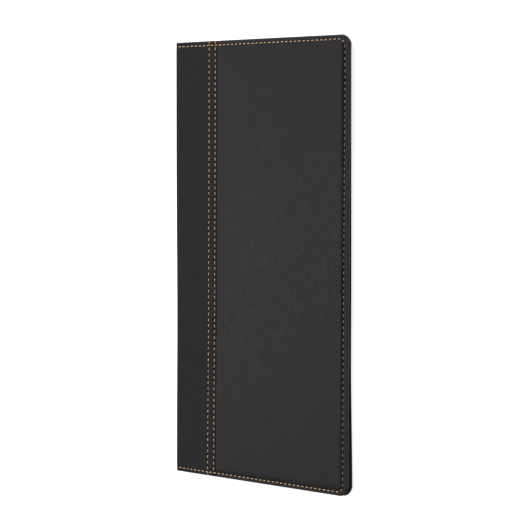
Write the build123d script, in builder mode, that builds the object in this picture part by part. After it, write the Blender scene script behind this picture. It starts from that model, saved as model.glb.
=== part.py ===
"""Guest check presenter: a closed two-panel leatherette folder with stitched borders.

The folder lies closed on its back cover. The origin is the centre of its plan, on the outer face of
the back cover. +Z points out of the front cover, +X to the fore edge and +Y to the head. All lengths
are millimetres. Each function builds the back cover's piece, and the front cover's piece is its
mirror image about the plane between the two covers.
"""

import os
from math import degrees

from build123d import *

# Overall size of the closed folder
cover_length = 254.0
closed_width = 140.0
fore_overhang = 1.5
corner_radius = 5.5

# Layers of a cover, from the outside in
leather_thickness = 0.6
board_thickness = 0.85
lining_thickness = 0.3

# Layers between the covers
pocket_sheet = 0.25
pocket_seam = 0.2
closing_clearance = 0.2

# Turned edges of the leather
outer_edge_round = 0.45
turn_in_width = 7.0
sharp_corner_radius = 0.4

# Spine panel, whose lap covers a tongue of the smooth leather
first_seam = 28.7
seam_spacing = 5.15
lap_margin = 1.3
lap_overlap = 9.0
tongue_thickness = 0.2

# Fold between the two boards
fold_slack = 1.6
hinge_strip_on_board = 6.0
fold_parting_angle = 1.5

# Bill pockets, and the card slit in the back one
pocket_height = 96.5
pocket_edge_inset = 0.9
pocket_hinge_clearance = 1.0
pocket_seam_width = 6.0
card_slit_width = 92.0
card_slit_height = 1.2
card_slit_depth = 24.0

# Stitching
stitch_pitch = 3.35
stitch_length = 2.6
thread_width = 0.5
outer_thread_height = 0.25
inner_thread_height = 0.12
thread_side_clearance = 0.12
head_seam_inset = 2.4
fore_seam_inset = 3.5
seam_corner_cut = 2.4
seam_crossing_clearance = 0.3
pocket_side_seam_inset = 2.2
mouth_seam_inset = 2.6

# Sizes that follow from the ones above
half_length = cover_length / 2
cover_thickness = leather_thickness + board_thickness + lining_thickness
pocket_thickness = pocket_sheet + pocket_seam
closed_thickness = 2 * cover_thickness + 2 * pocket_thickness + closing_clearance
fold_radius = closed_thickness / 2
hinge_radius = fold_radius - leather_thickness - lining_thickness
fold_x = fold_radius - closed_width / 2
board_x = fold_x + fold_slack
front_fore_x = closed_width / 2
back_fore_x = front_fore_x - fore_overhang
first_seam_x = first_seam - closed_width / 2
second_seam_x = first_seam_x + seam_spacing
lap_x = second_seam_x + lap_margin
tongue_x = lap_x - lap_overlap
hinge_strip_x = board_x + hinge_strip_on_board
inner_board_z = leather_thickness + board_thickness
turn_in_inset = leather_thickness + turn_in_width
turn_in_y = half_length - turn_in_inset
board_half_length = half_length - leather_thickness
back_parting = 225 + fold_parting_angle
low_layer_z = leather_thickness + lining_thickness
riser_x = board_x - lining_thickness
pocket_x = hinge_strip_x + pocket_hinge_clearance
pocket_foot_y = pocket_edge_inset - half_length
pocket_mouth_y = pocket_height - half_length
pocket_face_z = cover_thickness + pocket_thickness
head_seam_y = half_length - head_seam_inset
groove_width = thread_width + 2 * thread_side_clearance
seam_gap = thread_width / 2 + seam_crossing_clearance
closing_plane = Plane.XY.offset(closed_thickness / 2)
section_plane = Plane.XZ


def leaf(start_x: float, fore_x: float, inset: float) -> Sketch:
    """Return a cover's plan from start_x to the fore edge, inset from its three free edges."""
    end_x = fore_x - inset
    with BuildSketch(mode=Mode.PRIVATE) as plan:
        with Locations(((start_x + end_x) / 2, 0)):
            Rectangle(end_x - start_x, 2 * (half_length - inset))
        fore_corners = plan.vertices().group_by(Axis.X)[-1]
        fillet(fore_corners, max(corner_radius - inset, sharp_corner_radius))
    return plan.sketch


def slab(start_x: float, end_x: float, start_z: float, end_z: float) -> None:
    """Add a rectangle between two corners to the open sketch."""
    with Locations(((start_x + end_x) / 2, (start_z + end_z) / 2)):
        Rectangle(end_x - start_x, end_z - start_z)


def fold_band(outer_radius: float, inner_radius: float, start: float, sweep_angle: float) -> Sketch:
    """Return a band round the fold's centre, drawn as (x, z), from a start angle over a sweep."""
    centre = (fold_x, fold_radius)
    with BuildSketch(mode=Mode.PRIVATE) as band:
        with BuildLine():
            outer = CenterArc(centre, outer_radius, start, sweep_angle)
            inner = CenterArc(centre, inner_radius, start, sweep_angle)
            Line(outer @ 0, inner @ 0)
            Line(outer @ 1, inner @ 1)
        make_face()
    return band.sketch


def hinge_section(end_x: float) -> Sketch:
    """Return the whole thickness of the back cover's hinge side up to end_x, drawn as (x, z)."""
    with BuildSketch(mode=Mode.PRIVATE) as section:
        add(fold_band(fold_radius, hinge_radius, back_parting, 270 - back_parting))
        slab(fold_x, end_x, 0, low_layer_z)
        slab(riser_x, end_x, 0, cover_thickness)
    return section.sketch


def inner_layer_section(end_x: float) -> Sketch:
    """Return the lining layer of the hinge side: round the fold, up the board's edge and on to end_x."""
    with BuildSketch(mode=Mode.PRIVATE) as section:
        add(fold_band(fold_radius - leather_thickness, hinge_radius, back_parting, 270 - back_parting))
        slab(fold_x, board_x, leather_thickness, low_layer_z)
        slab(riser_x, board_x, leather_thickness, cover_thickness)
        slab(riser_x, end_x, inner_board_z, cover_thickness)
    return section.sketch


def border_seam(fore_x: float) -> Wire:
    """Return the border seam of a cover: head, fore edge and foot, with a stitch across each corner."""
    seam_x = fore_x - fore_seam_inset
    corner_x = seam_x - seam_corner_cut
    corner_y = head_seam_y - seam_corner_cut
    with BuildLine(mode=Mode.PRIVATE) as seam:
        Polyline(
            (fold_x, head_seam_y),
            (corner_x, head_seam_y),
            (seam_x, corner_y),
            (seam_x, -corner_y),
            (corner_x, -head_seam_y),
            (fold_x, -head_seam_y),
        )
    return seam.wire()


def straight_seam(start: tuple[float, float], end: tuple[float, float]) -> Wire:
    """Return a straight seam between two points of the plan."""
    with BuildLine(mode=Mode.PRIVATE) as seam:
        Line(start, end)
    return seam.wire()


def lap_seams(half_run: float) -> list[Wire]:
    """Return the two rows that sew down the lap of the spine panel."""
    return [straight_seam((x, half_run), (x, -half_run)) for x in (first_seam_x, second_seam_x)]


def pocket_seams(fore_x: float) -> list[Wire]:
    """Return the seams of a pocket that the border seam doesn't sew: its side and its mouth."""
    side_x = pocket_x + pocket_side_seam_inset
    mouth_y = pocket_mouth_y - mouth_seam_inset
    mouth_end_x = fore_x - fore_seam_inset - seam_gap
    side = straight_seam((side_x, mouth_y - seam_gap), (side_x, seam_gap - head_seam_y))
    return [side, straight_seam((side_x, mouth_y), (mouth_end_x, mouth_y))]


def groove(seam: Wire, floor_z: float, depth: float) -> None:
    """Cut a groove along a seam into the open part, upwards from floor_z."""
    with BuildSketch(Plane.XY.offset(floor_z)) as channel:
        trace(seam, line_width=groove_width)
    extrude(channel.sketch, amount=depth, mode=Mode.SUBTRACT)


def stitch(height: float) -> Part:
    """Return one stitch along X: a round-ended thread cut flat underneath, height tall."""
    with BuildPart() as thread:
        with BuildSketch(Plane.XY.offset(height - thread_width / 2)):
            SlotOverall(stitch_length, thread_width)
            Rectangle(stitch_length, thread_width, align=(Align.CENTER, Align.MAX), mode=Mode.SUBTRACT)
        revolve(axis=Axis((0, 0, height - thread_width / 2), (1, 0, 0)))
        split(bisect_by=Plane.XY, keep=Keep.TOP)
    return thread.part


def stitch_planes(seam: Wire, floor_z: float, outwards: int) -> list[Plane]:
    """Return a plane on the groove's floor for each stitch, evenly spaced on each run of a seam.

    Args:
        seam: the line that the stitches follow, in straight runs.
        floor_z: height of the groove's floor.
        outwards: 1 where the stitches face +Z and -1 where they face -Z.
    """
    planes = []
    for run in seam.edges():
        count = max(1, round(run.length / stitch_pitch))
        for index in range(count):
            origin = run @ ((index + 0.5) / count) + Vector(0, 0, floor_z)
            planes.append(Plane(origin=origin, x_dir=run % 0.5, z_dir=(0, 0, outwards)))
    return planes


def thread_part(planes: list[Plane], height: float) -> Part:
    """Return separate stitches, one on each plane."""
    single = stitch(height)
    with BuildPart() as thread:
        with Locations(*[plane.location for plane in planes]):
            add(single)
    return thread.part


def board_part(fore_x: float) -> Part:
    """Return the chipboard that stiffens a cover."""
    with BuildPart() as board:
        with BuildSketch(Plane.XY.offset(leather_thickness)):
            add(leaf(board_x, fore_x, leather_thickness))
        extrude(amount=board_thickness)
    return board.part


def cover_leather_part(fore_x: float) -> Part:
    """Return the smooth leather of a cover, turned in over three edges, with its tongue."""
    with BuildPart() as leather:
        with BuildSketch():
            add(leaf(lap_x, fore_x, 0))
        extrude(amount=cover_thickness)
        outer_edges = leather.edges().group_by(Axis.Z)[0].sort_by(Axis.X)[1:]
        fillet(outer_edges, outer_edge_round)
        with BuildSketch(Plane.XY.offset(leather_thickness)):
            add(leaf(lap_x, fore_x, leather_thickness))
        extrude(amount=board_thickness, mode=Mode.SUBTRACT)
        with BuildSketch(Plane.XY.offset(inner_board_z)):
            add(leaf(lap_x, fore_x, turn_in_inset))
        extrude(amount=lining_thickness, mode=Mode.SUBTRACT)
        with BuildSketch(Plane.XY.offset(leather_thickness - tongue_thickness)):
            with Locations(((tongue_x + lap_x) / 2, 0)):
                Rectangle(lap_overlap, 2 * board_half_length)
        extrude(amount=tongue_thickness)
        groove(border_seam(fore_x), 0, outer_thread_height)
        groove(border_seam(fore_x), cover_thickness - inner_thread_height, inner_thread_height)
    return leather.part


def spine_leather_part(fore_x: float) -> Part:
    """Return the spine panel's share on a cover, from the fold's parting line to its lap."""
    with BuildPart() as leather:
        with BuildSketch(section_plane):
            add(hinge_section(lap_x))
        extrude(amount=half_length, both=True)
        ends = leather.edges().filter_by(lambda edge: abs(edge.center().Y) > board_half_length)
        outer_line = ends.group_by(Axis.Z)[0]
        outer_arc = ends.filter_by(GeomType.CIRCLE).group_by(SortBy.RADIUS)[-1]
        fillet(outer_line + outer_arc, outer_edge_round)
        with BuildSketch(section_plane):
            slab(board_x, lap_x, leather_thickness, inner_board_z)
            slab(tongue_x, lap_x, leather_thickness - tongue_thickness, leather_thickness)
        extrude(amount=board_half_length, both=True, mode=Mode.SUBTRACT)
        with BuildSketch(section_plane):
            add(inner_layer_section(lap_x))
        extrude(amount=turn_in_y, both=True, mode=Mode.SUBTRACT)
        groove(border_seam(fore_x), 0, outer_thread_height)
        groove(border_seam(fore_x), cover_thickness - inner_thread_height, inner_thread_height)
        for seam in lap_seams(half_length):
            groove(seam, 0, outer_thread_height)
    return leather.part


def hinge_lining_part() -> Part:
    """Return the lining strip's share on a cover, from the fold's parting line on to the board."""
    with BuildPart() as strip:
        with BuildSketch(section_plane):
            add(inner_layer_section(hinge_strip_x))
        extrude(amount=turn_in_y, both=True)
    return strip.part


def lining_part(fore_x: float) -> Part:
    """Return the lining sheet of a cover, inside the frame of turned-in leather."""
    with BuildPart() as lining:
        with BuildSketch(Plane.XY.offset(inner_board_z)):
            add(leaf(hinge_strip_x, fore_x, turn_in_inset))
        extrude(amount=lining_thickness)
    return lining.part


def pocket_part(fore_x: float, has_card_slit: bool) -> Part:
    """Return a bill pocket: a sheet on a turned seam along its side, foot and fore edge."""
    end_x = fore_x - pocket_edge_inset
    with BuildPart() as pocket:
        with BuildSketch(Plane.XY.offset(cover_thickness)) as plan:
            slab(pocket_x, end_x, pocket_foot_y, pocket_mouth_y)
            fore_foot = plan.vertices().group_by(Axis.X)[-1].sort_by(Axis.Y)[0]
            fillet(fore_foot, corner_radius - pocket_edge_inset)
        extrude(amount=pocket_thickness)
        with BuildSketch(Plane.XY.offset(cover_thickness)):
            inner_foot_y = pocket_foot_y + pocket_seam_width
            slab(pocket_x + pocket_seam_width, end_x - pocket_seam_width, inner_foot_y, pocket_mouth_y)
        extrude(amount=pocket_seam, mode=Mode.SUBTRACT)
        if has_card_slit:
            with BuildSketch(Plane.XY.offset(cover_thickness)):
                with Locations(((pocket_x + end_x) / 2, pocket_mouth_y - card_slit_depth)):
                    SlotOverall(card_slit_width, card_slit_height)
            extrude(amount=pocket_thickness, mode=Mode.SUBTRACT)
        for seam in [border_seam(fore_x), *pocket_seams(fore_x)]:
            groove(seam, pocket_face_z - inner_thread_height, inner_thread_height)
    return pocket.part


def bobbin_planes(fore_x: float) -> list[Plane]:
    """Return the inside stitches of the border seam: on the turned-in leather or on the pocket.

    A stitch that would cross an edge of the pocket, or of the riser beside the board, is left out:
    there the thread passes from one level to the other.
    """
    reach = stitch_length / 2 + thread_side_clearance
    planes = []
    for plane in stitch_planes(border_seam(fore_x), 0, 1):
        x, y = plane.origin.X, plane.origin.Y
        from_side = x - pocket_x
        from_mouth = pocket_mouth_y - y
        if min(from_side, from_mouth) > reach:
            planes.append(plane.offset(pocket_face_z - inner_thread_height))
        elif min(abs(from_side), abs(from_mouth)) > reach and x - board_x > reach:
            planes.append(plane.offset(cover_thickness - inner_thread_height))
    return planes


def cover_parts(fore_x: float, has_card_slit: bool) -> dict[str, Part]:
    """Return every piece of one cover by name, placed as on the back cover."""
    outer_floor = outer_thread_height
    border = stitch_planes(border_seam(fore_x), outer_floor, -1)
    lap_runs = lap_seams(head_seam_y - seam_gap)
    lap = [plane for run in lap_runs for plane in stitch_planes(run, outer_floor, -1)]
    pocket_floor = pocket_face_z - inner_thread_height
    pocket_runs = pocket_seams(fore_x)
    pocket = [plane for run in pocket_runs for plane in stitch_planes(run, pocket_floor, 1)]
    return {
        "board": board_part(fore_x),
        "cover_leather": cover_leather_part(fore_x),
        "spine_leather": spine_leather_part(fore_x),
        "hinge_lining": hinge_lining_part(),
        "lining": lining_part(fore_x),
        "pocket": pocket_part(fore_x, has_card_slit),
        "border_thread": thread_part(border, outer_thread_height),
        "bobbin_thread": thread_part(bobbin_planes(fore_x), inner_thread_height),
        "seam_thread": thread_part(lap, outer_thread_height),
        "pocket_thread": thread_part(pocket, inner_thread_height),
    }


fold_start = 135 + fold_parting_angle
fold_sweep = 90 - 2 * fold_parting_angle

with BuildPart() as fold_spine_leather:
    with BuildSketch(section_plane):
        add(fold_band(fold_radius, hinge_radius, fold_start, fold_sweep))
    extrude(amount=half_length, both=True)
    with BuildSketch(section_plane):
        add(fold_band(fold_radius - leather_thickness, hinge_radius, fold_start, fold_sweep))
    extrude(amount=turn_in_y, both=True, mode=Mode.SUBTRACT)
    for seam_y in (head_seam_y, -head_seam_y):
        with BuildSketch(section_plane.offset(-seam_y)):
            add(fold_band(fold_radius, fold_radius - outer_thread_height, fold_start, fold_sweep))
        extrude(amount=groove_width / 2, both=True, mode=Mode.SUBTRACT)

with BuildPart() as fold_hinge_lining:
    with BuildSketch(section_plane):
        add(fold_band(fold_radius - leather_thickness, hinge_radius, fold_start, fold_sweep))
    extrude(amount=turn_in_y, both=True)

fold_stitch_angle = degrees(stitch_length / fold_radius)
with BuildPart() as fold_border_thread:
    for seam_y in (head_seam_y, -head_seam_y):
        with BuildSketch(section_plane.offset(-seam_y)):
            start = 180 - fold_stitch_angle / 2
            add(fold_band(fold_radius, fold_radius - outer_thread_height, start, fold_stitch_angle))
        extrude(amount=thread_width / 2, both=True)

pieces = {
    "fold_spine_leather": fold_spine_leather.part,
    "fold_hinge_lining": fold_hinge_lining.part,
    "fold_border_thread": fold_border_thread.part,
}
for piece_name, piece in cover_parts(back_fore_x, has_card_slit=True).items():
    pieces[f"back_{piece_name}"] = piece
for piece_name, piece in cover_parts(front_fore_x, has_card_slit=False).items():
    pieces[f"front_{piece_name}"] = mirror(piece, about=closing_plane)

os.makedirs("parts", exist_ok=True)
for node_name, part in pieces.items():
    part.label = node_name
    export_step(part, f"parts/{node_name}.step")
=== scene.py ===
"""Guest check presenter: the finish of a stitched two-panel leatherette folder, dressed on its frame.

The folder lies closed on its back cover, with its spine at -X, its fore edge at +X and its head at
+Y. Meshes are built in millimetres in a cover's own space, (x, y, depth), where depth runs from the
cover's outer face inwards. They are then laid on the back or the front cover in metres.
"""

from __future__ import annotations

import logging
import math
from collections.abc import Callable, Iterable, Sequence
from dataclasses import dataclass, field, replace
from enum import Enum
from typing import ClassVar

import bmesh
import bpy
from mathutils import Matrix, Vector, noise

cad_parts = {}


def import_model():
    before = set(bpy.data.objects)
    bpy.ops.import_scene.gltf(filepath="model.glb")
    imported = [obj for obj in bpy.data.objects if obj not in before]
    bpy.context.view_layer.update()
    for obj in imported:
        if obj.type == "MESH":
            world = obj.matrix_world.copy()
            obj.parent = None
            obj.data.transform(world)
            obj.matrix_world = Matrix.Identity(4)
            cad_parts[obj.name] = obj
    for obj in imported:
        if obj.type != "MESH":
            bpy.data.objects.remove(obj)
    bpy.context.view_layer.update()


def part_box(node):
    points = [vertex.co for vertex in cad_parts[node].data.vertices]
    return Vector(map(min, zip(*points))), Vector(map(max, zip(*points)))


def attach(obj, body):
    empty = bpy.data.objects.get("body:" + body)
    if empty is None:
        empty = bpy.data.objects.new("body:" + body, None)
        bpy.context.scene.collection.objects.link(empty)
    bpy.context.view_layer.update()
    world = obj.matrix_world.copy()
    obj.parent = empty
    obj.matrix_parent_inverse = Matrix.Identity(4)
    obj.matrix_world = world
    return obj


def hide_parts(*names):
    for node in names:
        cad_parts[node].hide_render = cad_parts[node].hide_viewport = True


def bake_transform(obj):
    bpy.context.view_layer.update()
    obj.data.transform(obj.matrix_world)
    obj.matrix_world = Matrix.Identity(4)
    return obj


LOG = logging.getLogger("check_presenter")
MM = 0.001
REST_ATTRIBUTE = "rest_place"
SEAM_ATTRIBUTE = "seam_gap"
PHASE_ATTRIBUTE = "seam_phase"
RIM_ATTRIBUTE = "rim_gap"
CREASE_ATTRIBUTE = "crease_shade"
UV_MAP = "UVMap"
FAR_AWAY = 50.0
NUDGE = 1e-4
LEAST_STEP = 0.05
TURN_IN = 7.6
FOLD_THICKNESS = 0.9
OUTER_LEATHER_DEPTH = 0.8
FLAP_MARGIN = 0.1
LEATHER_STEP = 3.0
LINING_STEP = 4.0
THREAD_CREASE_ANGLE = 80.0
SEAM_LINES = (-1.7, -1.3, -0.95, -0.65, -0.4, -0.2, 0, 0.2, 0.4, 0.6, 0.8, 1.05, 1.35, 1.7, 2.2, 2.9, 3.8, 5)
FLAP_INSETS = (1.3, 1.8, 2.1, 2.4, 2.7, 3.0, 3.3, 3.7, 4.6, 5.8, 6.9, 7.4)
PAST_LAP_LINES = (-0.6, 0.3, 0.6, 0.9, 1.3, 1.8, 2.4, 3.2, 4.5)
LAP_EDGE_INSETS = (0, 0.12, 0.3, 0.6)
TWIN_ROW_LINES = (-1.2, -0.8, -0.5, -0.25, 0, 0.25, 0.5, 0.8)
BOARD_EDGE_LINES = (-0.8, -0.6, -0.45, -0.3, -0.15, 0, 0.2, 0.6, 1.5, 4)
POCKET_SEAM_LINES = (-0.7, -0.4, -0.2, 0, 0.2, 0.4, 0.7)

Colour = tuple[float, float, float, float]
Socket = bpy.types.NodeSocket
WHITE: Colour = (1, 1, 1, 1)


class Side(Enum):
    """The two covers of the folder."""

    BACK = "back"
    FRONT = "front"

    @property
    def body(self) -> str:
        """Name of the moving body that carries this cover."""
        return f"{self.value}_cover"

    def node(self, piece: str) -> str:
        """Name of this cover's own node of a kind of piece."""
        return f"{self.value}_{piece}"


class Slot(Enum):
    """Material slots of the record."""

    SMOOTH = "smooth_leatherette"
    GRAINED = "grained_leatherette"
    LINING = "lining"
    BOARD = "chipboard"
    THREAD = "contrast_thread"


def smoothstep(low: float, high: float, value: float) -> float:
    """Return 0 below low, 1 above high and a smooth turn between them."""
    share = min(1.0, max(0.0, (value - low) / (high - low)))
    return share * share * (3 - 2 * share)


def bell(value: float, width: float) -> float:
    """Return a bell of height 1 at 0 that has died away two widths off."""
    return math.exp(-((value / width) ** 2))


def mix(start: float, end: float, share: float) -> float:
    """Return the value a share of the way from start to end."""
    return start + (end - start) * share


def ripple(x: float, y: float, layer: float, length: float) -> float:
    """Return smooth noise from -1 to 1 over the plan.

    Args:
        x: place along X.
        y: place along Y.
        layer: which of many unlike patterns it is.
        length: about how long one swell is.

    Returns:
        The noise at that place.
    """
    return noise.noise(Vector((x, y, layer)) / length)


def filled(places: Iterable[float], step: float) -> list[float]:
    """Return the places in order, with more evenly spaced between those over a step apart.

    Args:
        places: the lines that have to be there, in any order.
        step: the widest gap that may stay between two lines.

    Returns:
        The sorted lines, with none nearer than the least step to the next.
    """
    lines: list[float] = []
    for place in sorted(places):
        if lines and place - lines[-1] < LEAST_STEP:
            continue
        if lines:
            start = lines[-1]
            count = math.ceil((place - start) / step)
            lines += [start + (place - start) * index / count for index in range(1, count)]
        lines.append(place)
    return lines


@dataclass(frozen=True)
class Layout:
    """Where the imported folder's pieces lie, in millimetres.

    Attributes:
        half_length: half of the covers' length along Y.
        closed_thickness: thickness of the closed folder.
        spine_x: outermost line of the spine's fold.
        lap_x: edge of the spine panel's lap over the smooth leather.
        tongue_x: end of the smooth leather's tongue under the lap.
        board_x: spine-side edge of the boards.
        board_depth: a board's two faces, as depths.
        hinge_strip_x: edge of the hinge lining on a board.
        turn_in_y: end of the hinge lining, where the turned-in leather begins.
        cover_thickness: depth of a cover's inner face.
        pocket_depth: depth of a pocket's face.
        pocket_x: spine-side edge of the pockets.
        pocket_mouth_y: mouth of the pockets.
        pocket_foot_y: foot edge of the pockets.
        fore_x: fore edge of each cover.
    """

    half_length: float
    closed_thickness: float
    spine_x: float
    lap_x: float
    tongue_x: float
    board_x: float
    board_depth: tuple[float, float]
    hinge_strip_x: float
    turn_in_y: float
    cover_thickness: float
    pocket_depth: float
    pocket_x: float
    pocket_mouth_y: float
    pocket_foot_y: float
    fore_x: dict[Side, float]

    @classmethod
    def from_frame(cls) -> Layout:
        """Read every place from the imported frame's boxes."""

        def corners(node: str) -> tuple[Vector, Vector]:
            """Return the two corners of a node's box, in millimetres."""
            low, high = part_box(node)
            return low / MM, high / MM

        skin = corners("back_cover_leather")
        panel = corners("back_spine_leather")
        board = corners("back_board")
        strip = corners("back_hinge_lining")
        pocket = corners("back_pocket")
        front = corners("front_cover_leather")
        return cls(
            half_length=skin[1].y,
            closed_thickness=front[1].z,
            spine_x=corners("fold_spine_leather")[0].x,
            lap_x=panel[1].x,
            tongue_x=skin[0].x,
            board_x=board[0].x,
            board_depth=(board[0].z, board[1].z),
            hinge_strip_x=strip[1].x,
            turn_in_y=strip[1].y,
            cover_thickness=strip[1].z,
            pocket_depth=pocket[1].z,
            pocket_x=pocket[0].x,
            pocket_mouth_y=pocket[1].y,
            pocket_foot_y=pocket[0].y,
            fore_x={Side.BACK: skin[1].x, Side.FRONT: front[1].x},
        )

    @property
    def fold_radius(self) -> float:
        """Outer radius of the fold."""
        return self.closed_thickness / 2

    @property
    def fold_x(self) -> float:
        """Line where the flat cover turns into the fold."""
        return self.spine_x + self.fold_radius

    @property
    def fold_run(self) -> float:
        """Length of leather from the flat cover to the middle of the spine."""
        return self.fold_radius * math.pi / 2

    def fold_lines(self, count: int = 14) -> list[float]:
        """Return the lines along X that share the fold's leather into equal strips."""
        return [self.fold_x - self.fold_run * index / count for index in range(count + 1)]


@dataclass(frozen=True)
class Bulge:
    """A smooth bulge along a line.

    Attributes:
        height: how far it bulges at its middle.
        middle: place of its middle on the line.
        width: its width, in the line's own unit.
    """

    height: float
    middle: float
    width: float

    def at(self, place: float) -> float:
        """Return the bulge at a place on the line."""
        return self.height * bell(place - self.middle, self.width)


@dataclass(frozen=True)
class Handwork:
    """How far a sewn folder strays from a drawn one, in millimetres.

    Attributes:
        spine_bow: how far the spine is drawn in, along shares of half the cover's length.
        spine_out: how far the spine stands out all along.
        spine_lean: how far it leans out from the middle to the head.
        spine_reach: how far in from the boards' edge the leather follows the spine.
        lap_lean: how far the lap and its twin seam lean to the spine at the foot.
        lap_splay: how far they lean away from it at the head.
        lap_in: how far they lie nearer to the spine all along.
        lap_reach: how far past the lap the leather starts and stops to stray less.
        front_in: how far the front cover's fore edge lies in half way.
        front_lean: how much further in it lies at the foot, and less far at the head.
        back_bow: how far the back cover's fore edge bows out, along the same shares.
        back_lean: how far it leans out from the middle to the foot.
        back_flare: how much further it swings out at the foot.
        corner_cut: how far the corners are flattened, as a share of a straight cut's height.
    """

    spine_bow: Bulge = Bulge(0.55, -0.25, 0.42)
    spine_out: float = 0.25
    spine_lean: float = 0.1
    spine_reach: float = 45.0
    lap_lean: float = 0.7
    lap_splay: float = 0.5
    lap_in: float = 0.1
    lap_reach: tuple[float, float] = (5.0, 30.0)
    front_in: float = 0.252
    front_lean: float = 0.348
    back_bow: Bulge = Bulge(0.22, -0.05, 0.6)
    back_lean: float = 0.35
    back_flare: float = 1.2
    corner_cut: float = 0.32

    def shift(self, layout: Layout, side: Side, x: float, y: float) -> float:
        """Return how far a point of a cover's plan strays along X."""
        along = y / layout.half_length
        at_spine = 1 - smoothstep(layout.board_x, layout.board_x + self.spine_reach, x)
        shift = (self.spine_bow.at(along) - self.spine_out - self.spine_lean * along) * at_spine
        at_fore = max(0.0, (x - layout.board_x) / (layout.fore_x[side] - layout.board_x))
        if side is Side.BACK:
            flare = self.back_flare * smoothstep(0.4, 1.0, -along) - self.back_lean * along
            return shift + (flare + self.back_bow.at(along)) * at_fore
        near, far = self.lap_reach
        at_lap = smoothstep(layout.board_x, layout.tongue_x, x)
        at_lap *= 1 - smoothstep(layout.lap_x + near, layout.lap_x + far, x)
        lean = self.lap_splay * smoothstep(-0.1, 0.7, along) - self.lap_lean * smoothstep(0, 1, -along)
        shift -= (self.front_in - self.front_lean * along) * at_fore
        return shift + (lean - self.lap_in) * at_lap

    def trim(self, layout: Layout, side: Side, x: float, y: float) -> float:
        """Return how far a point moves in along X and along Y as its corner is flattened."""
        across = (x - layout.fore_x[side]) / Outline.radius + 1
        along = (abs(y) - layout.half_length) / Outline.radius + 1
        if across <= 0 or along <= 0:
            return 0.0
        return self.corner_cut * Outline.radius / 2 * max(0.0, across + along - 1)


@dataclass(frozen=True)
class Outline:
    """A cover's plan: a rectangle open to the spine with two round corners at the fore edge.

    Attributes:
        fore_x: its fore edge.
        half_length: half of its length along Y.
        radius: radius of its corners.
    """

    fore_x: float
    half_length: float
    radius: float = 5.5

    @property
    def centre_x(self) -> float:
        """Place of the corners' centres along X."""
        return self.fore_x - self.radius

    @property
    def centre_y(self) -> float:
        """Distance of the corners' centres from the middle."""
        return self.half_length - self.radius

    def past_centre(self, x: float, y: float) -> tuple[float, float]:
        """Return how far a point lies out from the nearest corner's centre, across and along."""
        return x - self.centre_x, abs(y) - self.centre_y

    def edge_gap(self, x: float, y: float) -> float:
        """Return the distance from a point of the plan in to the nearest free edge."""
        across, along = self.past_centre(x, y)
        if across > 0 and along > 0:
            return self.radius - math.hypot(across, along)
        return min(self.fore_x - x, self.half_length - abs(y))

    def rounded(self, x: float, y: float, inset: float) -> tuple[float, float]:
        """Return where a square grid's point lies once the grid's corners are rounded."""
        reach = self.radius - inset
        across, along = (distance / reach for distance in self.past_centre(x, y))
        if across <= 0 or along <= 0:
            return x, y
        round_x = self.centre_x + reach * across * math.sqrt(1 - along * along / 2)
        round_y = self.centre_y + reach * along * math.sqrt(1 - across * across / 2)
        return round_x, math.copysign(round_y, y)

    def root(self, x: float, y: float) -> tuple[float, float]:
        """Return the point of the free edge that lies straight out from a point near it."""
        across, along = self.past_centre(x, y)
        if across > 0 and along > 0:
            scale = self.radius / math.hypot(across, along)
            return self.centre_x + across * scale, math.copysign(self.centre_y + along * scale, y)
        if self.half_length - abs(y) < self.fore_x - x:
            return x, math.copysign(self.half_length, y)
        return self.fore_x, y

    def inwards(self, root: tuple[float, float], inset: float) -> tuple[float, float]:
        """Return the point that lies inset from a point of the free edge.

        Past the corners' radius the turned-in leather meets in a mitre, so it stops there.
        """
        x, y = root
        across, along = self.past_centre(x, y)
        if across > 0 and along > 0 and inset < self.radius:
            share = (self.radius - inset) / self.radius
            return self.centre_x + across * share, math.copysign(self.centre_y + along * share, y)
        inner_x, inner_y = self.fore_x - inset, self.half_length - inset
        if along >= self.radius - NUDGE and across <= 0:
            return min(x, inner_x), math.copysign(inner_y, y)
        if across > 0 and along > 0:
            return inner_x, math.copysign(inner_y, y)
        return inner_x, max(-inner_y, min(inner_y, y))


@dataclass(frozen=True)
class Run:
    """One straight stretch of a seam.

    Attributes:
        start: point of the plan where it starts.
        end: point where it ends.
        pitch: length of leather that one stitch takes.
    """

    start: tuple[float, float]
    end: tuple[float, float]
    pitch: float = 3.35

    @property
    def length(self) -> float:
        """Length of the run."""
        return math.dist(self.start, self.end)

    @property
    def count(self) -> int:
        """Number of stitches on the run."""
        return max(1, round(self.length / self.pitch))

    def near(self, x: float, y: float) -> tuple[float, float]:
        """Return a point's distance from the run, and how many stitches along it lies."""
        (start_x, start_y), (end_x, end_y) = self.start, self.end
        unit_x, unit_y = (end_x - start_x) / self.length, (end_y - start_y) / self.length
        from_x, from_y = x - start_x, y - start_y
        along = min(self.length, max(0.0, from_x * unit_x + from_y * unit_y))
        gap = math.hypot(from_x - along * unit_x, from_y - along * unit_y)
        return gap, along / self.length * self.count

    def stitches(self) -> list[tuple[float, float, float]]:
        """Return x, y and the heading of each stitch."""
        (start_x, start_y), (end_x, end_y) = self.start, self.end
        heading = math.atan2(end_y - start_y, end_x - start_x)
        shares = [(index + 0.5) / self.count for index in range(self.count)]
        return [(mix(start_x, end_x, share), mix(start_y, end_y, share), heading) for share in shares]


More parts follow.
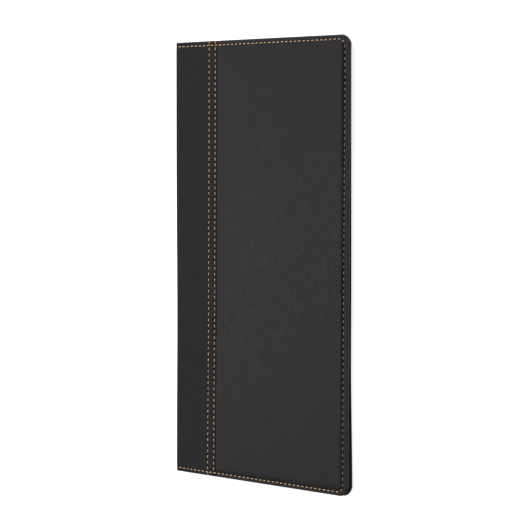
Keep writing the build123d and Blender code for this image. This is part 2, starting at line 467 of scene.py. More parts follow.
@dataclass(frozen=True)
class Seams:
    """The seams of one cover.

    Attributes:
        layout: where everything lies.
        side: the cover that is sewn.
        head_inset: how far in from the head and the foot the border seam is drawn.
        fore_inset: how far in from the fore edge it runs.
        border_shift: how far it is sewn nearer to the foot than it is drawn.
        corner_cut: how much it cuts off each corner.
        first_row: distance of the first of the twin rows from the spine.
        row_spacing: distance of the second row from the first.
        crossing_gap: how far short of another seam a row stops.
        pocket_side_inset: how far inside the pocket's edge its side seam runs.
        mouth_inset: how far below the pocket's mouth its seam runs.
    """

    layout: Layout
    side: Side
    head_inset: float = 2.4
    fore_inset: float = 3.55
    border_shift: float = 0.25
    corner_cut: float = 2.4
    first_row: float = 28.7
    row_spacing: float = 5.15
    crossing_gap: float = 0.55
    pocket_side_inset: float = 2.2
    mouth_inset: float = 2.6

    @property
    def seam_x(self) -> float:
        """Border seam along the fore edge."""
        return self.layout.fore_x[self.side] - self.fore_inset

    @property
    def seam_y(self) -> float:
        """Border seam at head and foot as it is drawn, before its shift."""
        return self.layout.half_length - self.head_inset

    @property
    def end_ys(self) -> tuple[float, float]:
        """Border seam at the head and at the foot as it is sewn."""
        return self.seam_y - self.border_shift, -self.seam_y - self.border_shift

    @property
    def rows(self) -> tuple[float, float]:
        """Places of the lap's twin rows along X."""
        first = self.layout.spine_x + self.first_row
        return first, first + self.row_spacing

    def border(self) -> list[Run]:
        """Return the border seam from the fold at the head round to the fold at the foot."""
        (head_y, foot_y), cut = self.end_ys, self.corner_cut
        start_x, seam_x = self.layout.fold_x, self.seam_x
        corners = [
            (start_x, head_y),
            (seam_x - cut, head_y),
            (seam_x, head_y - cut),
            (seam_x, foot_y + cut),
            (seam_x - cut, foot_y),
            (start_x, foot_y),
        ]
        return [Run(a, b) for a, b in zip(corners, corners[1:])]

    def lap(self) -> list[Run]:
        """Return the twin rows, which stop short of the border seam that crosses them."""
        (head_y, foot_y), gap = self.end_ys, self.crossing_gap
        return [Run((x, head_y - gap), (x, foot_y + gap)) for x in self.rows]

    def pocket(self) -> list[Run]:
        """Return the seams that only the pocket has: its side and its mouth."""
        gap, foot_y = self.crossing_gap, self.end_ys[1]
        side_x = self.layout.pocket_x + self.pocket_side_inset
        mouth_y = self.layout.pocket_mouth_y - self.mouth_inset
        side = Run((side_x, mouth_y - gap), (side_x, foot_y + gap))
        mouth = Run((side_x, mouth_y), (self.seam_x - gap, mouth_y))
        return [side, mouth]

    def from_end(self, y: float) -> float:
        """Return how far inside the head or the foot seam a place along Y lies."""
        return self.seam_y - abs(y + self.border_shift)

    def inside(self, x: float, y: float) -> float:
        """Return how far inside the border seam a point lies, below 0 for the edge strip."""
        from_fore, from_end = self.seam_x - x, self.from_end(y)
        return min(from_fore, from_end, (from_fore + from_end - self.corner_cut) / math.sqrt(2))

    def end_lines(self) -> list[float]:
        """Return the grid lines beside the head seam and the foot seam."""
        head_y, foot_y = self.end_ys
        return [head_y - step for step in SEAM_LINES] + [foot_y + step for step in SEAM_LINES]


def nearest(runs: Sequence[Run], x: float, y: float) -> tuple[float, float]:
    """Return the distance of the nearest seam and the place along it, counted in stitches."""
    return min(run.near(x, y) for run in runs)


def lattice(columns: Sequence[float], rows: Sequence[float]) -> bmesh.types.BMesh:
    """Return a flat grid whose lines stand at the given places along X and Y."""
    mesh = bmesh.new()
    across, along = len(columns) - 1, len(rows) - 1
    bmesh.ops.create_grid(mesh, x_segments=across, y_segments=along, size=0.5)
    for vert in mesh.verts:
        column, row = round((vert.co.x + 0.5) * across), round((vert.co.y + 0.5) * along)
        vert.co = (columns[column], rows[row], 0)
    return mesh


def roll_in(
    mesh: bmesh.types.BMesh,
    outline: Outline,
    edges: list[bmesh.types.BMEdge],
    stations: Sequence[tuple[float, float]],
    inner: float,
) -> None:
    """Turn a sheet's free edges round a rim and in under it.

    Args:
        mesh: the sheet, whose free edges lie at the first station's inset.
        outline: the plan that the edges follow.
        edges: the free edges to turn in.
        stations: inset of each line of the turned-in leather, and its share of the way in.
        inner: depth of the inner face, where the share is 1.
    """
    root_x = mesh.verts.layers.float.new("root_x")
    root_y = mesh.verts.layers.float.new("root_y")
    root_depth = mesh.verts.layers.float.new("root_depth")
    for vert in {vert for edge in edges for vert in edge.verts}:
        vert[root_x], vert[root_y] = outline.root(vert.co.x, vert.co.y)
        vert[root_depth] = vert.co.z
    ring = edges
    for inset, share in stations:
        made = bmesh.ops.extrude_edge_only(mesh, edges=ring)["geom"]
        ring = [item for item in made if isinstance(item, bmesh.types.BMEdge)]
        for vert in (item for item in made if isinstance(item, bmesh.types.BMVert)):
            x, y = outline.inwards((vert[root_x], vert[root_y]), inset)
            vert.co = (x, y, mix(vert[root_depth], inner, share))
    bmesh.ops.remove_doubles(mesh, verts=mesh.verts[:], dist=1e-3)


def turn_in_stations(radius: float, reach: float, steps: int = 8) -> list[tuple[float, float]]:
    """Return the stations of a turned-in edge: round the rim, then flat to its reach.

    Args:
        radius: radius of the rim.
        reach: how far in from the edge the leather ends.
        steps: number of faces round the rim.

    Returns:
        The inset of each station and its share of the way from the outer to the inner face.
    """
    angles = [math.pi * (index / steps - 0.5) for index in range(1, steps + 1)]
    rim = [(radius * (1 - math.cos(angle)), (1 + math.sin(angle)) / 2) for angle in angles]
    return [*rim, *((inset, 1.0) for inset in (*FLAP_INSETS, reach))]


@dataclass(frozen=True)
class Bench:
    """Lays finished meshes on the covers and turns them into pieces of the folder.

    Attributes:
        layout: where everything lies.
        handwork: how far the folder strays from its drawing.
        materials: the finish of every slot.
        squareness: power of the fold's rounded section, 2 for a half circle.
    """

    layout: Layout
    handwork: Handwork
    materials: dict[Slot, bpy.types.Material]
    squareness: float = 2.7

    def fold(self, x: float, depth: float) -> tuple[float, float]:
        """Return where a point of the flat strip lies once the strip is bent round the spine."""
        if x >= self.layout.fold_x:
            return x, depth
        radius = self.layout.fold_radius
        angle = (self.layout.fold_x - x) / radius
        reach, power = radius - depth, 2 / self.squareness
        across, up = max(0.0, math.sin(angle)) ** power, max(0.0, math.cos(angle)) ** power
        return self.layout.fold_x - reach * across, radius - reach * up

    def lay(self, mesh: bmesh.types.BMesh, side: Side) -> None:
        """Place a mesh from a cover's space on that cover, in metres, faces still outwards."""
        for vert in mesh.verts:
            x, depth = self.fold(vert.co.x, vert.co.z)
            trim = self.handwork.trim(self.layout, side, x, vert.co.y)
            y = math.copysign(max(0.0, abs(vert.co.y) - trim), vert.co.y)
            x += self.handwork.shift(self.layout, side, x, y) - trim
            z = depth if side is Side.BACK else self.layout.closed_thickness - depth
            vert.co = Vector((x, y, z)) * MM
        if side is Side.FRONT:
            bmesh.ops.reverse_faces(mesh, faces=mesh.faces[:])

    def piece(
        self,
        name: str,
        mesh: bmesh.types.BMesh,
        slot: Slot,
        nodes: Sequence[str],
        wall: float = 0.0,
        crease_angle: float = 50.0,
    ) -> bpy.types.Object:
        """Make a scene object of a mesh that stands for some of the frame's nodes.

        Args:
            name: the piece's name.
            mesh: its mesh, laid in place in metres. It is used up.
            slot: the record's material slot, which gives its finish.
            nodes: the nodes that it stands for.
            wall: thickness in millimetres that a sheet gets inwards, or 0 for a closed mesh.
            crease_angle: faces that meet at more than this angle stay crisp.

        Returns:
            The new object, which rides on nothing yet.
        """
        data = bpy.data.meshes.new(name)
        mesh.to_mesh(data)
        mesh.free()
        data.materials.append(self.materials[slot])
        item = bpy.data.objects.new(name, data)
        bpy.context.scene.collection.objects.link(item)
        if wall:
            shell = item.modifiers.new("Wall", "SOLIDIFY")
            shell.thickness = wall * MM
            shell.offset = -1
            shell.use_even_offset = True
            bpy.context.view_layer.update()
            solid = item.evaluated_get(bpy.context.evaluated_depsgraph_get())
            item.data = bpy.data.meshes.new_from_object(solid)
            item.modifiers.clear()
            bpy.data.meshes.remove(data)
            item.data.name = name
        item.data.shade_smooth()
        item.data.set_sharp_from_angle(angle=math.radians(crease_angle))
        rest = item.data.attributes.new(REST_ATTRIBUTE, "FLOAT_VECTOR", "POINT")
        places = [value for vert in item.data.vertices for value in vert.co / MM]
        rest.data.foreach_set("vector", places)
        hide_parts(*nodes)
        return item

    def sewn(self, node: str, thread: bmesh.types.BMesh, body: str) -> None:
        """Make a piece of the stitches that stand for a node and let it move with a body."""
        name, angle = f"{node}_stitches", THREAD_CREASE_ANGLE
        self.ride(self.piece(name, thread, Slot.THREAD, [node], crease_angle=angle), body)

    def ride(self, item: bpy.types.Object, body: str) -> None:
        """Make a piece move with a body and report it."""
        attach(item, body)
        LOG.info("%s: %d faces on %s", item.name, len(item.data.polygons), body)

    def bend(self, item: bpy.types.Object, side: Side) -> None:
        """Bake the placement of a piece that runs round the spine into its mesh; it rides on no body."""
        if side is Side.BACK:
            side.body
            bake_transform(item)
        else:
            side.body
            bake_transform(item)
        LOG.info("%s: %d faces bend at %s crease", item.name, len(item.data.polygons), side.value)


def mark_seams(
    mesh: bmesh.types.BMesh,
    border: Sequence[Run],
    edge_gap: Callable[[float, float], float],
    outer: Sequence[Run] = (),
) -> None:
    """Write each point's place beside the seams and the free edge, for the leather's needle holes, wear,
    painted shade and painted highlight.

    Args:
        mesh: a mesh in a cover's space.
        border: the seams that are sewn through its outer and its turned-in leather.
        edge_gap: the distance of a point of the plan from the free edge.
        outer: the seams that are sewn through its outer leather alone.
    """
    gap_layer = mesh.verts.layers.float.new(SEAM_ATTRIBUTE)
    phase_layer = mesh.verts.layers.float.new(PHASE_ATTRIBUTE)
    rim_layer = mesh.verts.layers.float.new(RIM_ATTRIBUTE)
    for vert in mesh.verts:
        runs = [*border, *outer] if vert.co.z < OUTER_LEATHER_DEPTH else border
        vert[gap_layer], vert[phase_layer] = nearest(runs, vert.co.x, vert.co.y)
        vert[rim_layer] = edge_gap(vert.co.x, vert.co.y)


# Finishes
# --------

MIX_SHARE, MIX_FIRST, MIX_SECOND, MIX_RESULT = 0, 6, 7, 2
HOLE_RADIUS = 0.55
PRESS_WIDTH = 0.9


@dataclass
class Graph:
    """A node tree while it is being wired.

    Attributes:
        tree: the tree.
    """

    tree: bpy.types.NodeTree

    def add(self, kind: str, inputs: dict | None = None, **settings: object) -> bpy.types.Node:
        """Add a node.

        Args:
            kind: the node's type name without its ShaderNode prefix.
            inputs: constants or sockets for its inputs, by name or index.
            settings: the node's own properties.

        Returns:
            The new node.
        """
        node = self.tree.nodes.new(kind if kind.startswith("NodeGroup") else f"ShaderNode{kind}")
        for name, setting in settings.items():
            setattr(node, name, setting)
        for key, value in (inputs or {}).items():
            self.feed(node.inputs[key], value)
        return node

    def feed(self, target: Socket, value: object) -> None:
        """Link a socket to an input, or set the input to a constant."""
        if isinstance(value, bpy.types.NodeSocket):
            self.tree.links.new(value, target)
        else:
            target.default_value = value

    def math(self, operation: str, *values: object, clamp: bool = False) -> Socket:
        """Return the result of a math node."""
        node = self.add("Math", dict(enumerate(values)), operation=operation, use_clamp=clamp)
        return node.outputs[0]

    def ramp(self, value: Socket, low: float, high: float, start: float, end: float) -> Socket:
        """Return value mapped smoothly from low..high to start..end."""
        inputs = {"Value": value, "From Min": low, "From Max": high, "To Min": start, "To Max": end}
        return self.add("MapRange", inputs, interpolation_type="SMOOTHSTEP").outputs["Result"]

    def blend(self, share: object, first: object, second: object) -> Socket:
        """Return a mix of two colours."""
        inputs = {MIX_SHARE: share, MIX_FIRST: first, MIX_SECOND: second}
        return self.add("Mix", inputs, data_type="RGBA").outputs[MIX_RESULT]

    def place(self) -> Socket:
        """Return the point's place on the closed folder, in millimetres."""
        return self.add("Attribute", attribute_name=REST_ATTRIBUTE).outputs["Vector"]

    def attribute(self, name: str) -> Socket:
        """Return the number that the mesh holds under a name."""
        return self.add("Attribute", attribute_name=name).outputs["Fac"]

    def bump(self, shader: bpy.types.Node, height: Socket) -> None:
        """Let a height in millimetres shape a shader's normal."""
        inputs = {"Height": self.math("MULTIPLY", height, MM), "Strength": 1.0, "Distance": 1.0}
        self.feed(shader.inputs["Normal"], self.add("Bump", inputs).outputs["Normal"])


class Effect:
    """A shader node group that more than one finish uses."""

    def __init__(self, name: str, inputs: Sequence[str], outputs: Sequence[str]):
        """Start the group.

        Args:
            name: the group's name.
            inputs: names of its inputs, all of them numbers but the place.
            outputs: names of its outputs, all of them numbers.
        """
        self.tree = bpy.data.node_groups.new(name, "ShaderNodeTree")
        for title in inputs:
            kind = "NodeSocketVector" if title == "Place" else "NodeSocketFloat"
            self.tree.interface.new_socket(title, in_out="INPUT", socket_type=kind)
        for title in outputs:
            self.tree.interface.new_socket(title, in_out="OUTPUT", socket_type="NodeSocketFloat")
        self.graph = Graph(self.tree)
        self.inputs = self.graph.add("NodeGroupInput").outputs
        self.outputs = self.graph.add("NodeGroupOutput").inputs

    def place(self, graph: Graph, **inputs: object) -> bpy.types.NodeOutputs:
        """Add the group to a material, feed its inputs and return its outputs."""
        return graph.add("Group", inputs, node_tree=self.tree).outputs

    def scaled(self, size: str) -> Socket:
        """Return the group's own place, divided by the input that gives the pattern's size."""
        node = self.graph.add("VectorMath", {0: self.inputs["Place"]}, operation="SCALE")
        self.graph.feed(node.inputs["Scale"], self.graph.math("DIVIDE", 1.0, self.inputs[size]))
        return node.outputs[0]


def pebble_effect() -> Effect:
    """Return the embossed grain of leatherette: domed pebbles between fine creases."""
    effect = Effect("PebbleGrain", ["Place", "Pebble"], ["Height", "Crease"])
    graph, place = effect.graph, effect.scaled("Pebble")
    warp = graph.add("TexNoise", {"Vector": place, "Scale": 0.9, "Detail": 2.0})
    offset = graph.add("VectorMath", {0: warp.outputs["Color"], 1: (0.7, 0.7, 0.7)}, operation="MULTIPLY")
    moved = graph.add("VectorMath", {0: place, 1: offset.outputs[0]}, operation="ADD")
    inputs = {"Vector": moved.outputs[0], "Scale": 1.0, "Randomness": 0.9}
    to_edge = graph.add("TexVoronoi", inputs, feature="DISTANCE_TO_EDGE").outputs["Distance"]
    dome = graph.ramp(to_edge, 0.0, 0.45, 0.0, 1.0)
    fine = graph.add("TexNoise", {"Vector": place, "Scale": 4.0, "Detail": 3.0})
    fine_height = graph.math("MULTIPLY", fine.outputs["Fac"], 0.25)
    graph.feed(effect.outputs["Height"], graph.math("ADD", dome, fine_height))
    graph.feed(effect.outputs["Crease"], graph.ramp(to_edge, 0.0, 0.16, 1.0, 0.0))
    return effect


def patch_effect() -> Effect:
    """Return slow patches, for uneven dye and sheen."""
    effect = Effect("SlowPatches", ["Place", "Patch"], ["Share"])
    graph = effect.graph
    inputs = {"Vector": effect.scaled("Patch"), "Scale": 1.0, "Detail": 3.0, "Roughness": 0.5}
    wave = graph.add("TexNoise", inputs)
    graph.feed(effect.outputs["Share"], graph.ramp(wave.outputs["Fac"], 0.3, 0.7, 0.0, 1.0))
    return effect


def press_effect() -> Effect:
    """Return where a seam presses leather: a line beside it, for painted shade, and a hole where the thread
    goes down, for painted shade and a dent.
    """
    effect = Effect("SeamPress", ["Gap", "Phase"], ["Hole", "Press"])
    graph, gap = effect.graph, effect.inputs["Gap"]
    phase = graph.math("FRACT", graph.math("ADD", effect.inputs["Phase"], 0.5))
    along = graph.math("MULTIPLY", graph.math("SUBTRACT", phase, 0.5), Run.pitch)
    squares = graph.math("MULTIPLY_ADD", gap, gap, graph.math("MULTIPLY", along, along))
    reach = graph.math("DIVIDE", graph.math("SQRT", squares), HOLE_RADIUS)
    graph.feed(effect.outputs["Hole"], graph.ramp(reach, 0.55, 1.3, 1.0, 0.0))
    beside = graph.math("DIVIDE", gap, PRESS_WIDTH)
    graph.feed(effect.outputs["Press"], graph.ramp(beside, 0.2, 1.0, 1.0, 0.0))
    return effect


def weave_effect() -> Effect:
    """Return a plain weave: warp and weft threads that pass over each other in turn."""
    effect = Effect("PlainWeave", ["Place", "Thread"], ["Height"])
    graph = effect.graph
    parts = graph.add("SeparateXYZ", {0: effect.inputs["Place"]})
    turns = graph.math("DIVIDE", math.pi, effect.inputs["Thread"])
    across = graph.math("MULTIPLY", parts.outputs["X"], turns)
    along = graph.math("MULTIPLY", parts.outputs["Y"], turns)
    warp = graph.math("ABSOLUTE", graph.math("SINE", across))
    weft = graph.math("ABSOLUTE", graph.math("SINE", along))
    crossing = graph.math("MULTIPLY", graph.math("COSINE", across), graph.math("COSINE", along))
    over = graph.ramp(crossing, -0.6, 0.6, 0.0, 1.0)
    warp_high = graph.math("MULTIPLY", warp, over)
    weft_high = graph.math("MULTIPLY", weft, graph.math("SUBTRACT", 1.0, over))
    graph.feed(effect.outputs["Height"], graph.math("ADD", warp_high, weft_high))
    return effect


@dataclass
class Effects:
    """The shared effects, each built once.

    Attributes:
        pebble: embossed grain.
        patches: uneven dye and sheen.
        press: the line and the holes of a seam.
        weave: crossing threads.
    """

    pebble: Effect = field(default_factory=pebble_effect)
    patches: Effect = field(default_factory=patch_effect)
    press: Effect = field(default_factory=press_effect)
    weave: Effect = field(default_factory=weave_effect)

    def patchy(self, graph: Graph, place: Socket, patch: float) -> Socket:
        """Return slow patches of a size in millimetres, as shares from 0 to 1."""
        return self.patches.place(graph, Place=place, Patch=patch)["Share"]


def new_material(name: str) -> tuple[bpy.types.Material, Graph, bpy.types.Node]:
    """Return an empty material, its graph and its main shader."""
    material = bpy.data.materials.new(name)
    material.use_nodes = True
    shader = material.node_tree.nodes["Principled BSDF"]
    return material, Graph(material.node_tree), shader


@dataclass(frozen=True)
class Leatherette:
    """A coated leather substitute.

    Attributes:
        name: the finish's name.
        colour: its dye.
        dye_and_painted_shade_colour: painted shade, tinted warm, in its grain's creases and its pressed
            lines, and the darker dye of its uneven patches.
        wear_and_highlight_colour: the lighter colour of its rims, which is wear and a painted highlight.
        pebble: size of its grain, in millimetres.
        grain_height: height of its grain, in millimetres.
        roughness: how rough it is, from its shiniest patches to its roughest.
        specular: strength of its reflections.
        patch: size of the patches of uneven dye, in millimetres.
        fine_patch: size of the patches of uneven sheen, and of uneven wear and painted highlight on the
            rims, in millimetres.
        patch_share: how much of the crease's colour the patches take.
        grain_share: how much of it the grain's creases take.
        press_share: how much of it the pressed lines take.
        wear_and_highlight_fade: distances from an edge where the wear and painted highlight start and stop
            to fade.
        shadow_colour: the dark bottom of the crease beside a padded panel.
        hole_painted_shade_colour: painted shade inside a needle hole.
        hole_depth: depth of a needle hole, in millimetres.
    """

    name: str
    colour: Colour
    dye_and_painted_shade_colour: Colour
    wear_and_highlight_colour: Colour
    pebble: float
    grain_height: float
    roughness: tuple[float, float]
    specular: float
    patch: float = 22.0
    fine_patch: float = 3.0
    patch_share: float = 0.12
    grain_share: float = 0.45
    press_share: float = 0.55
    wear_and_highlight_fade: tuple[float, float] = (0.1, 0.5)
    shadow_colour: Colour = (0.003, 0.003, 0.003, 1)
    hole_painted_shade_colour: Colour = (0.002, 0.002, 0.002, 1)
    hole_depth: float = 0.14

    def material(self, effects: Effects) -> bpy.types.Material:
        """Build the finish as a material."""
        material, graph, shader = new_material(self.name)
        place = graph.place()
        grain = effects.pebble.place(graph, Place=place, Pebble=self.pebble)
        fine_patches = effects.patchy(graph, place, self.fine_patch)
        gap, phase = graph.attribute(SEAM_ATTRIBUTE), graph.attribute(PHASE_ATTRIBUTE)
        press = effects.press.place(graph, Gap=gap, Phase=phase)

        # Uneven dye patches, and painted shade in the grain's creases, take the crease colour.
        patchy = graph.math("MULTIPLY", effects.patchy(graph, place, self.patch), self.patch_share)
        creased = graph.math("MULTIPLY", grain["Crease"], self.grain_share)
        shade = graph.math("ADD", patchy, creased, clamp=True)
        colour = graph.blend(shade, self.colour, self.dye_and_painted_shade_colour)
        # Wear and a painted highlight lighten the rims.
        at_rim = graph.ramp(graph.attribute(RIM_ATTRIBUTE), *self.wear_and_highlight_fade, 1.0, 0.0)
        rim_wear_and_highlight = graph.math("MULTIPLY", at_rim, graph.math("MULTIPLY_ADD", fine_patches, 0.5, 0.5))
        colour = graph.blend(rim_wear_and_highlight, colour, self.wear_and_highlight_colour)
        # Painted shade along the line that each seam presses.
        pressed = graph.math("MULTIPLY", press["Press"], self.press_share)
        colour = graph.blend(pressed, colour, self.dye_and_painted_shade_colour)
        colour = graph.blend(graph.attribute(CREASE_ATTRIBUTE), colour, self.shadow_colour)
        # Painted shade inside each needle hole.
        colour = graph.blend(press["Hole"], colour, self.hole_painted_shade_colour)
        graph.feed(shader.inputs["Base Color"], colour)

        roughness = graph.ramp(fine_patches, 0.0, 1.0, *self.roughness)
        graph.feed(shader.inputs["Roughness"], roughness)
        shader.inputs["Specular IOR Level"].default_value = self.specular

        raised = graph.math("MULTIPLY", grain["Height"], self.grain_height)
        graph.bump(shader, graph.math("MULTIPLY_ADD", press["Hole"], -self.hole_depth, raised))
        return material


@dataclass(frozen=True)
class SewingThread:
    """A twisted thread.

    Attributes:
        name: the finish's name.
        colour: the lit side of its plies.
        shade: painted shade down between the plies, and the darker dye of its faded patches.
        painted_shade_thread_colour: painted shade on thread that lies in the shadow of the padded panel's
            crease.
        turns: how many plies cross one stitch.
        patch: size of the patches of uneven dye, in millimetres.
        faded: how much of the shade the patches take.
        ply_height: how far the plies stand out, in millimetres.
        fray: height of the loose fibres as a share of the plies'.
        roughness: how rough it is, from its shiniest fibres to its roughest.
    """

    name: str
    colour: Colour
    shade: Colour
    painted_shade_thread_colour: Colour
    turns: float = 7.0
    patch: float = 1.6
    faded: float = 0.2
    ply_height: float = 0.06
    fray: float = 0.3
    roughness: tuple[float, float] = (0.45, 0.7)

    def material(self, effects: Effects) -> bpy.types.Material:
        """Build the finish as a material on the stitches' own UV map."""
        material, graph, shader = new_material(self.name)
        place = graph.place()
        parts = graph.add("SeparateXYZ", {0: graph.add("UVMap", uv_map=UV_MAP).outputs["UV"]})
        wound = graph.math("MULTIPLY_ADD", parts.outputs["X"], self.turns, parts.outputs["Y"])
        ply = graph.math("ABSOLUTE", graph.math("SINE", graph.math("MULTIPLY", wound, math.pi)))
        fibres = graph.add("TexNoise", {"Vector": place, "Scale": 9.0, "Detail": 2.0}).outputs["Fac"]

        # Painted shade between the plies.
        colour = graph.blend(graph.ramp(ply, 0.15, 0.8, 0.0, 1.0), self.shade, self.colour)
        faded = graph.math("MULTIPLY", effects.patchy(graph, place, self.patch), self.faded)
        colour = graph.blend(faded, colour, self.shade)
        # Painted shade on thread that lies in the padded panel's crease.
        colour = graph.blend(graph.attribute(CREASE_ATTRIBUTE), colour, self.painted_shade_thread_colour)
        graph.feed(shader.inputs["Base Color"], colour)
        graph.feed(shader.inputs["Roughness"], graph.ramp(fibres, 0.3, 0.7, *self.roughness))
        shader.inputs["Specular IOR Level"].default_value = 0.35
        shader.inputs["Sheen Weight"].default_value = 0.1
        frayed = graph.math("MULTIPLY_ADD", fibres, self.fray, ply)
        graph.bump(shader, graph.math("MULTIPLY", frayed, self.ply_height))
        return material


@dataclass(frozen=True)
class LiningCloth:
    """A plain-woven lining.

    Attributes:
        name: the finish's name.
        colour: its lit threads.
        shade: painted shade between its threads, and the darker dye of its faded patches.
        thread: spacing of its threads, in millimetres.
        thread_height: how far its threads stand out, in millimetres.
        patch: size of the patches of uneven dye, in millimetres.
        faded: how much of the shade the patches take.
        slub: length of the thick and thin stretches of its threads, in millimetres.
        roughness: how rough it is, from its thin stretches to its thick ones.
    """

    name: str
    colour: Colour
    shade: Colour
    thread: float = 0.4
    thread_height: float = 0.05
    patch: float = 14.0
    faded: float = 0.25
    slub: float = 1.1
    roughness: tuple[float, float] = (0.7, 0.9)

    def material(self, effects: Effects) -> bpy.types.Material:
        """Build the finish as a material."""
        material, graph, shader = new_material(self.name)
        place = graph.place()
        height = effects.weave.place(graph, Place=place, Thread=self.thread)["Height"]
        slubs = effects.patchy(graph, place, self.slub)
        # Painted shade between the threads.
        colour = graph.blend(graph.ramp(height, 0.2, 0.9, 0.0, 1.0), self.shade, self.colour)
        faded = graph.math("MULTIPLY", effects.patchy(graph, place, self.patch), self.faded)
        graph.feed(shader.inputs["Base Color"], graph.blend(faded, colour, self.shade))
        graph.feed(shader.inputs["Roughness"], graph.ramp(slubs, 0.0, 1.0, *self.roughness))
        shader.inputs["Specular IOR Level"].default_value = 0.25
        shader.inputs["Sheen Weight"].default_value = 0.15
        uneven = graph.math("MULTIPLY_ADD", slubs, 0.3, height)
        graph.bump(shader, graph.math("MULTIPLY", uneven, self.thread_height))
        return material


@dataclass(frozen=True)
class Chipboard:
    """Grey pulp board with paper fibres in it.

    Attributes:
        name: the finish's name.
        colour: the pulp.
        fibre: the dark fibres.
        patch: size of the patches with more fibres, in millimetres.
        fibre_height: how far the fibres stand out, in millimetres.
    """

    name: str
    colour: Colour
    fibre: Colour
    patch: float = 6.0
    fibre_height: float = 0.08

    def material(self, effects: Effects) -> bpy.types.Material:
        """Build the finish as a material."""
        material, graph, shader = new_material(self.name)
        place = graph.place()
        inputs = {"Vector": place, "Scale": 2.5, "Detail": 5.0, "Distortion": 1.5}
        fibres = graph.add("TexNoise", inputs).outputs["Fac"]
        specks = graph.ramp(fibres, 0.5, 0.62, 0.0, 1.0)
        share = graph.math("MULTIPLY_ADD", effects.patchy(graph, place, self.patch), 0.3, specks)
        graph.feed(shader.inputs["Base Color"], graph.blend(share, self.colour, self.fibre))
        shader.inputs["Roughness"].default_value = 0.9
        graph.bump(shader, graph.math("MULTIPLY", fibres, self.fibre_height))
        return material


def build_materials() -> dict[Slot, bpy.types.Material]:
    """Return the finish of every slot as a material, each built once."""
    finishes = {
        Slot.SMOOTH: Leatherette(
            name="SmoothLeatherette",
            colour=(0.0227, 0.0215, 0.0244, 1),
            dye_and_painted_shade_colour=(0.0165, 0.0120, 0.0090, 1),
            wear_and_highlight_colour=(0.100, 0.091, 0.083, 1),
            pebble=0.42,
            grain_height=0.014,
            roughness=(0.38, 0.46),
            specular=0.07,
        ),
        Slot.GRAINED: Leatherette(
            name="GrainedLeatherette",
            colour=(0.0165, 0.0163, 0.0191, 1),
            dye_and_painted_shade_colour=(0.0120, 0.0088, 0.0065, 1),
            wear_and_highlight_colour=(0.019, 0.019, 0.020, 1),
            pebble=1.1,
            grain_height=0.12,
            roughness=(0.42, 0.52),
            specular=0.06,
        ),
        Slot.THREAD: SewingThread(
            name="TanThread",
            colour=(0.82, 0.53, 0.28, 1),
            shade=(0.50, 0.28, 0.11, 1),
            painted_shade_thread_colour=(0.24, 0.175, 0.12, 1),
        ),
        Slot.LINING: LiningCloth(
            name="WovenLining", colour=(0.030, 0.029, 0.031, 1), shade=(0.008, 0.008, 0.009, 1)
        ),
        Slot.BOARD: Chipboard(
            name="Chipboard", colour=(0.30, 0.27, 0.23, 1), fibre=(0.16, 0.145, 0.125, 1)
        ),
    }
    effects = Effects()
    return {slot: finish.material(effects) for slot, finish in finishes.items()}


# Sub-assemblies
# --------------


@dataclass(frozen=True)
class CoverPart:
    """One layer of a cover, or of its half of the spine.

    Attributes:
        TITLE: the piece's name, without its side.
        NODE: name of the node that it stands for, without its side.
        FOLD_NODE: the node of the fold that it stands for too, if it runs round the spine.
        SLOT: its material slot.
        WALL: thickness of its sheet, or 0 for a solid part.
        layout: where everything lies.
        side: the cover that it belongs to.
    """

    TITLE: ClassVar[str]
    NODE: ClassVar[str]
    FOLD_NODE: ClassVar[str | None] = None
    SLOT: ClassVar[Slot]
    WALL: ClassVar[float] = 0.0

    layout: Layout
    side: Side

    @property
    def seams(self) -> Seams:
        """Seams of this cover."""
        return Seams(self.layout, self.side)

    @property
    def outline(self) -> Outline:
        """Plan of this cover."""
        return Outline(self.layout.fore_x[self.side], self.layout.half_length)

    def mesh(self) -> bmesh.types.BMesh:
        """Return the part's outer sheet, or the whole of a solid part, in its cover's space."""
        raise NotImplementedError

    def build(self, bench: Bench) -> None:
        """Build the part and lay it on its cover; a flat part moves with its cover, one that runs round the
        fold rides on no body.
        """
        mesh = self.mesh()
        bench.lay(mesh, self.side)
        name, nodes = self.side.node(self.TITLE), [self.side.node(self.NODE)]
        if self.FOLD_NODE is None:
            bench.ride(bench.piece(name, mesh, self.SLOT, nodes, self.WALL), self.side.body)
            return
        nodes.append(self.FOLD_NODE)
        bench.bend(bench.piece(name, mesh, self.SLOT, nodes, self.WALL), self.side)


@dataclass(frozen=True)
class TurnedLeather(CoverPart):
    """Leather whose free edges are turned in round a half-round rim.

    Attributes:
        strip_depth: how far the sewn edge strip lies below the rest.
        bobbin_press: the line that the seam presses in the turned-in leather.
    """

    strip_depth: float = 0.12
    bobbin_press: Bulge = Bulge(0.1, 0.0, 0.35)

    @property
    def rim_radius(self) -> float:
        """Radius of the rim over the board."""
        return (self.layout.cover_thickness - self.strip_depth) / 2

    @property
    def end_y(self) -> float:
        """Distance from the middle to where the rim at the head or the foot starts."""
        return self.layout.half_length - self.rim_radius

    def outer_depth(self, x: float, y: float) -> float:
        """Return the depth of the leather's outer face at a point of the plan."""
        raise NotImplementedError

    def turn_in(
        self,
        mesh: bmesh.types.BMesh,
        edges: list[bmesh.types.BMEdge],
        inside: Callable[[float, float], float],
    ) -> None:
        """Turn some edges of the leather in round the rim and press the seam's line there.

        Args:
            mesh: the leather.
            edges: the edges.
            inside: how far inside the seam a point of the plan lies.
        """
        inner = self.layout.cover_thickness
        roll_in(mesh, self.outline, edges, turn_in_stations(self.rim_radius, TURN_IN), inner)
        for vert in mesh.verts:
            if vert.co.z > inner - FLAP_MARGIN:
                vert.co.z -= self.bobbin_press.at(inside(vert.co.x, vert.co.y))


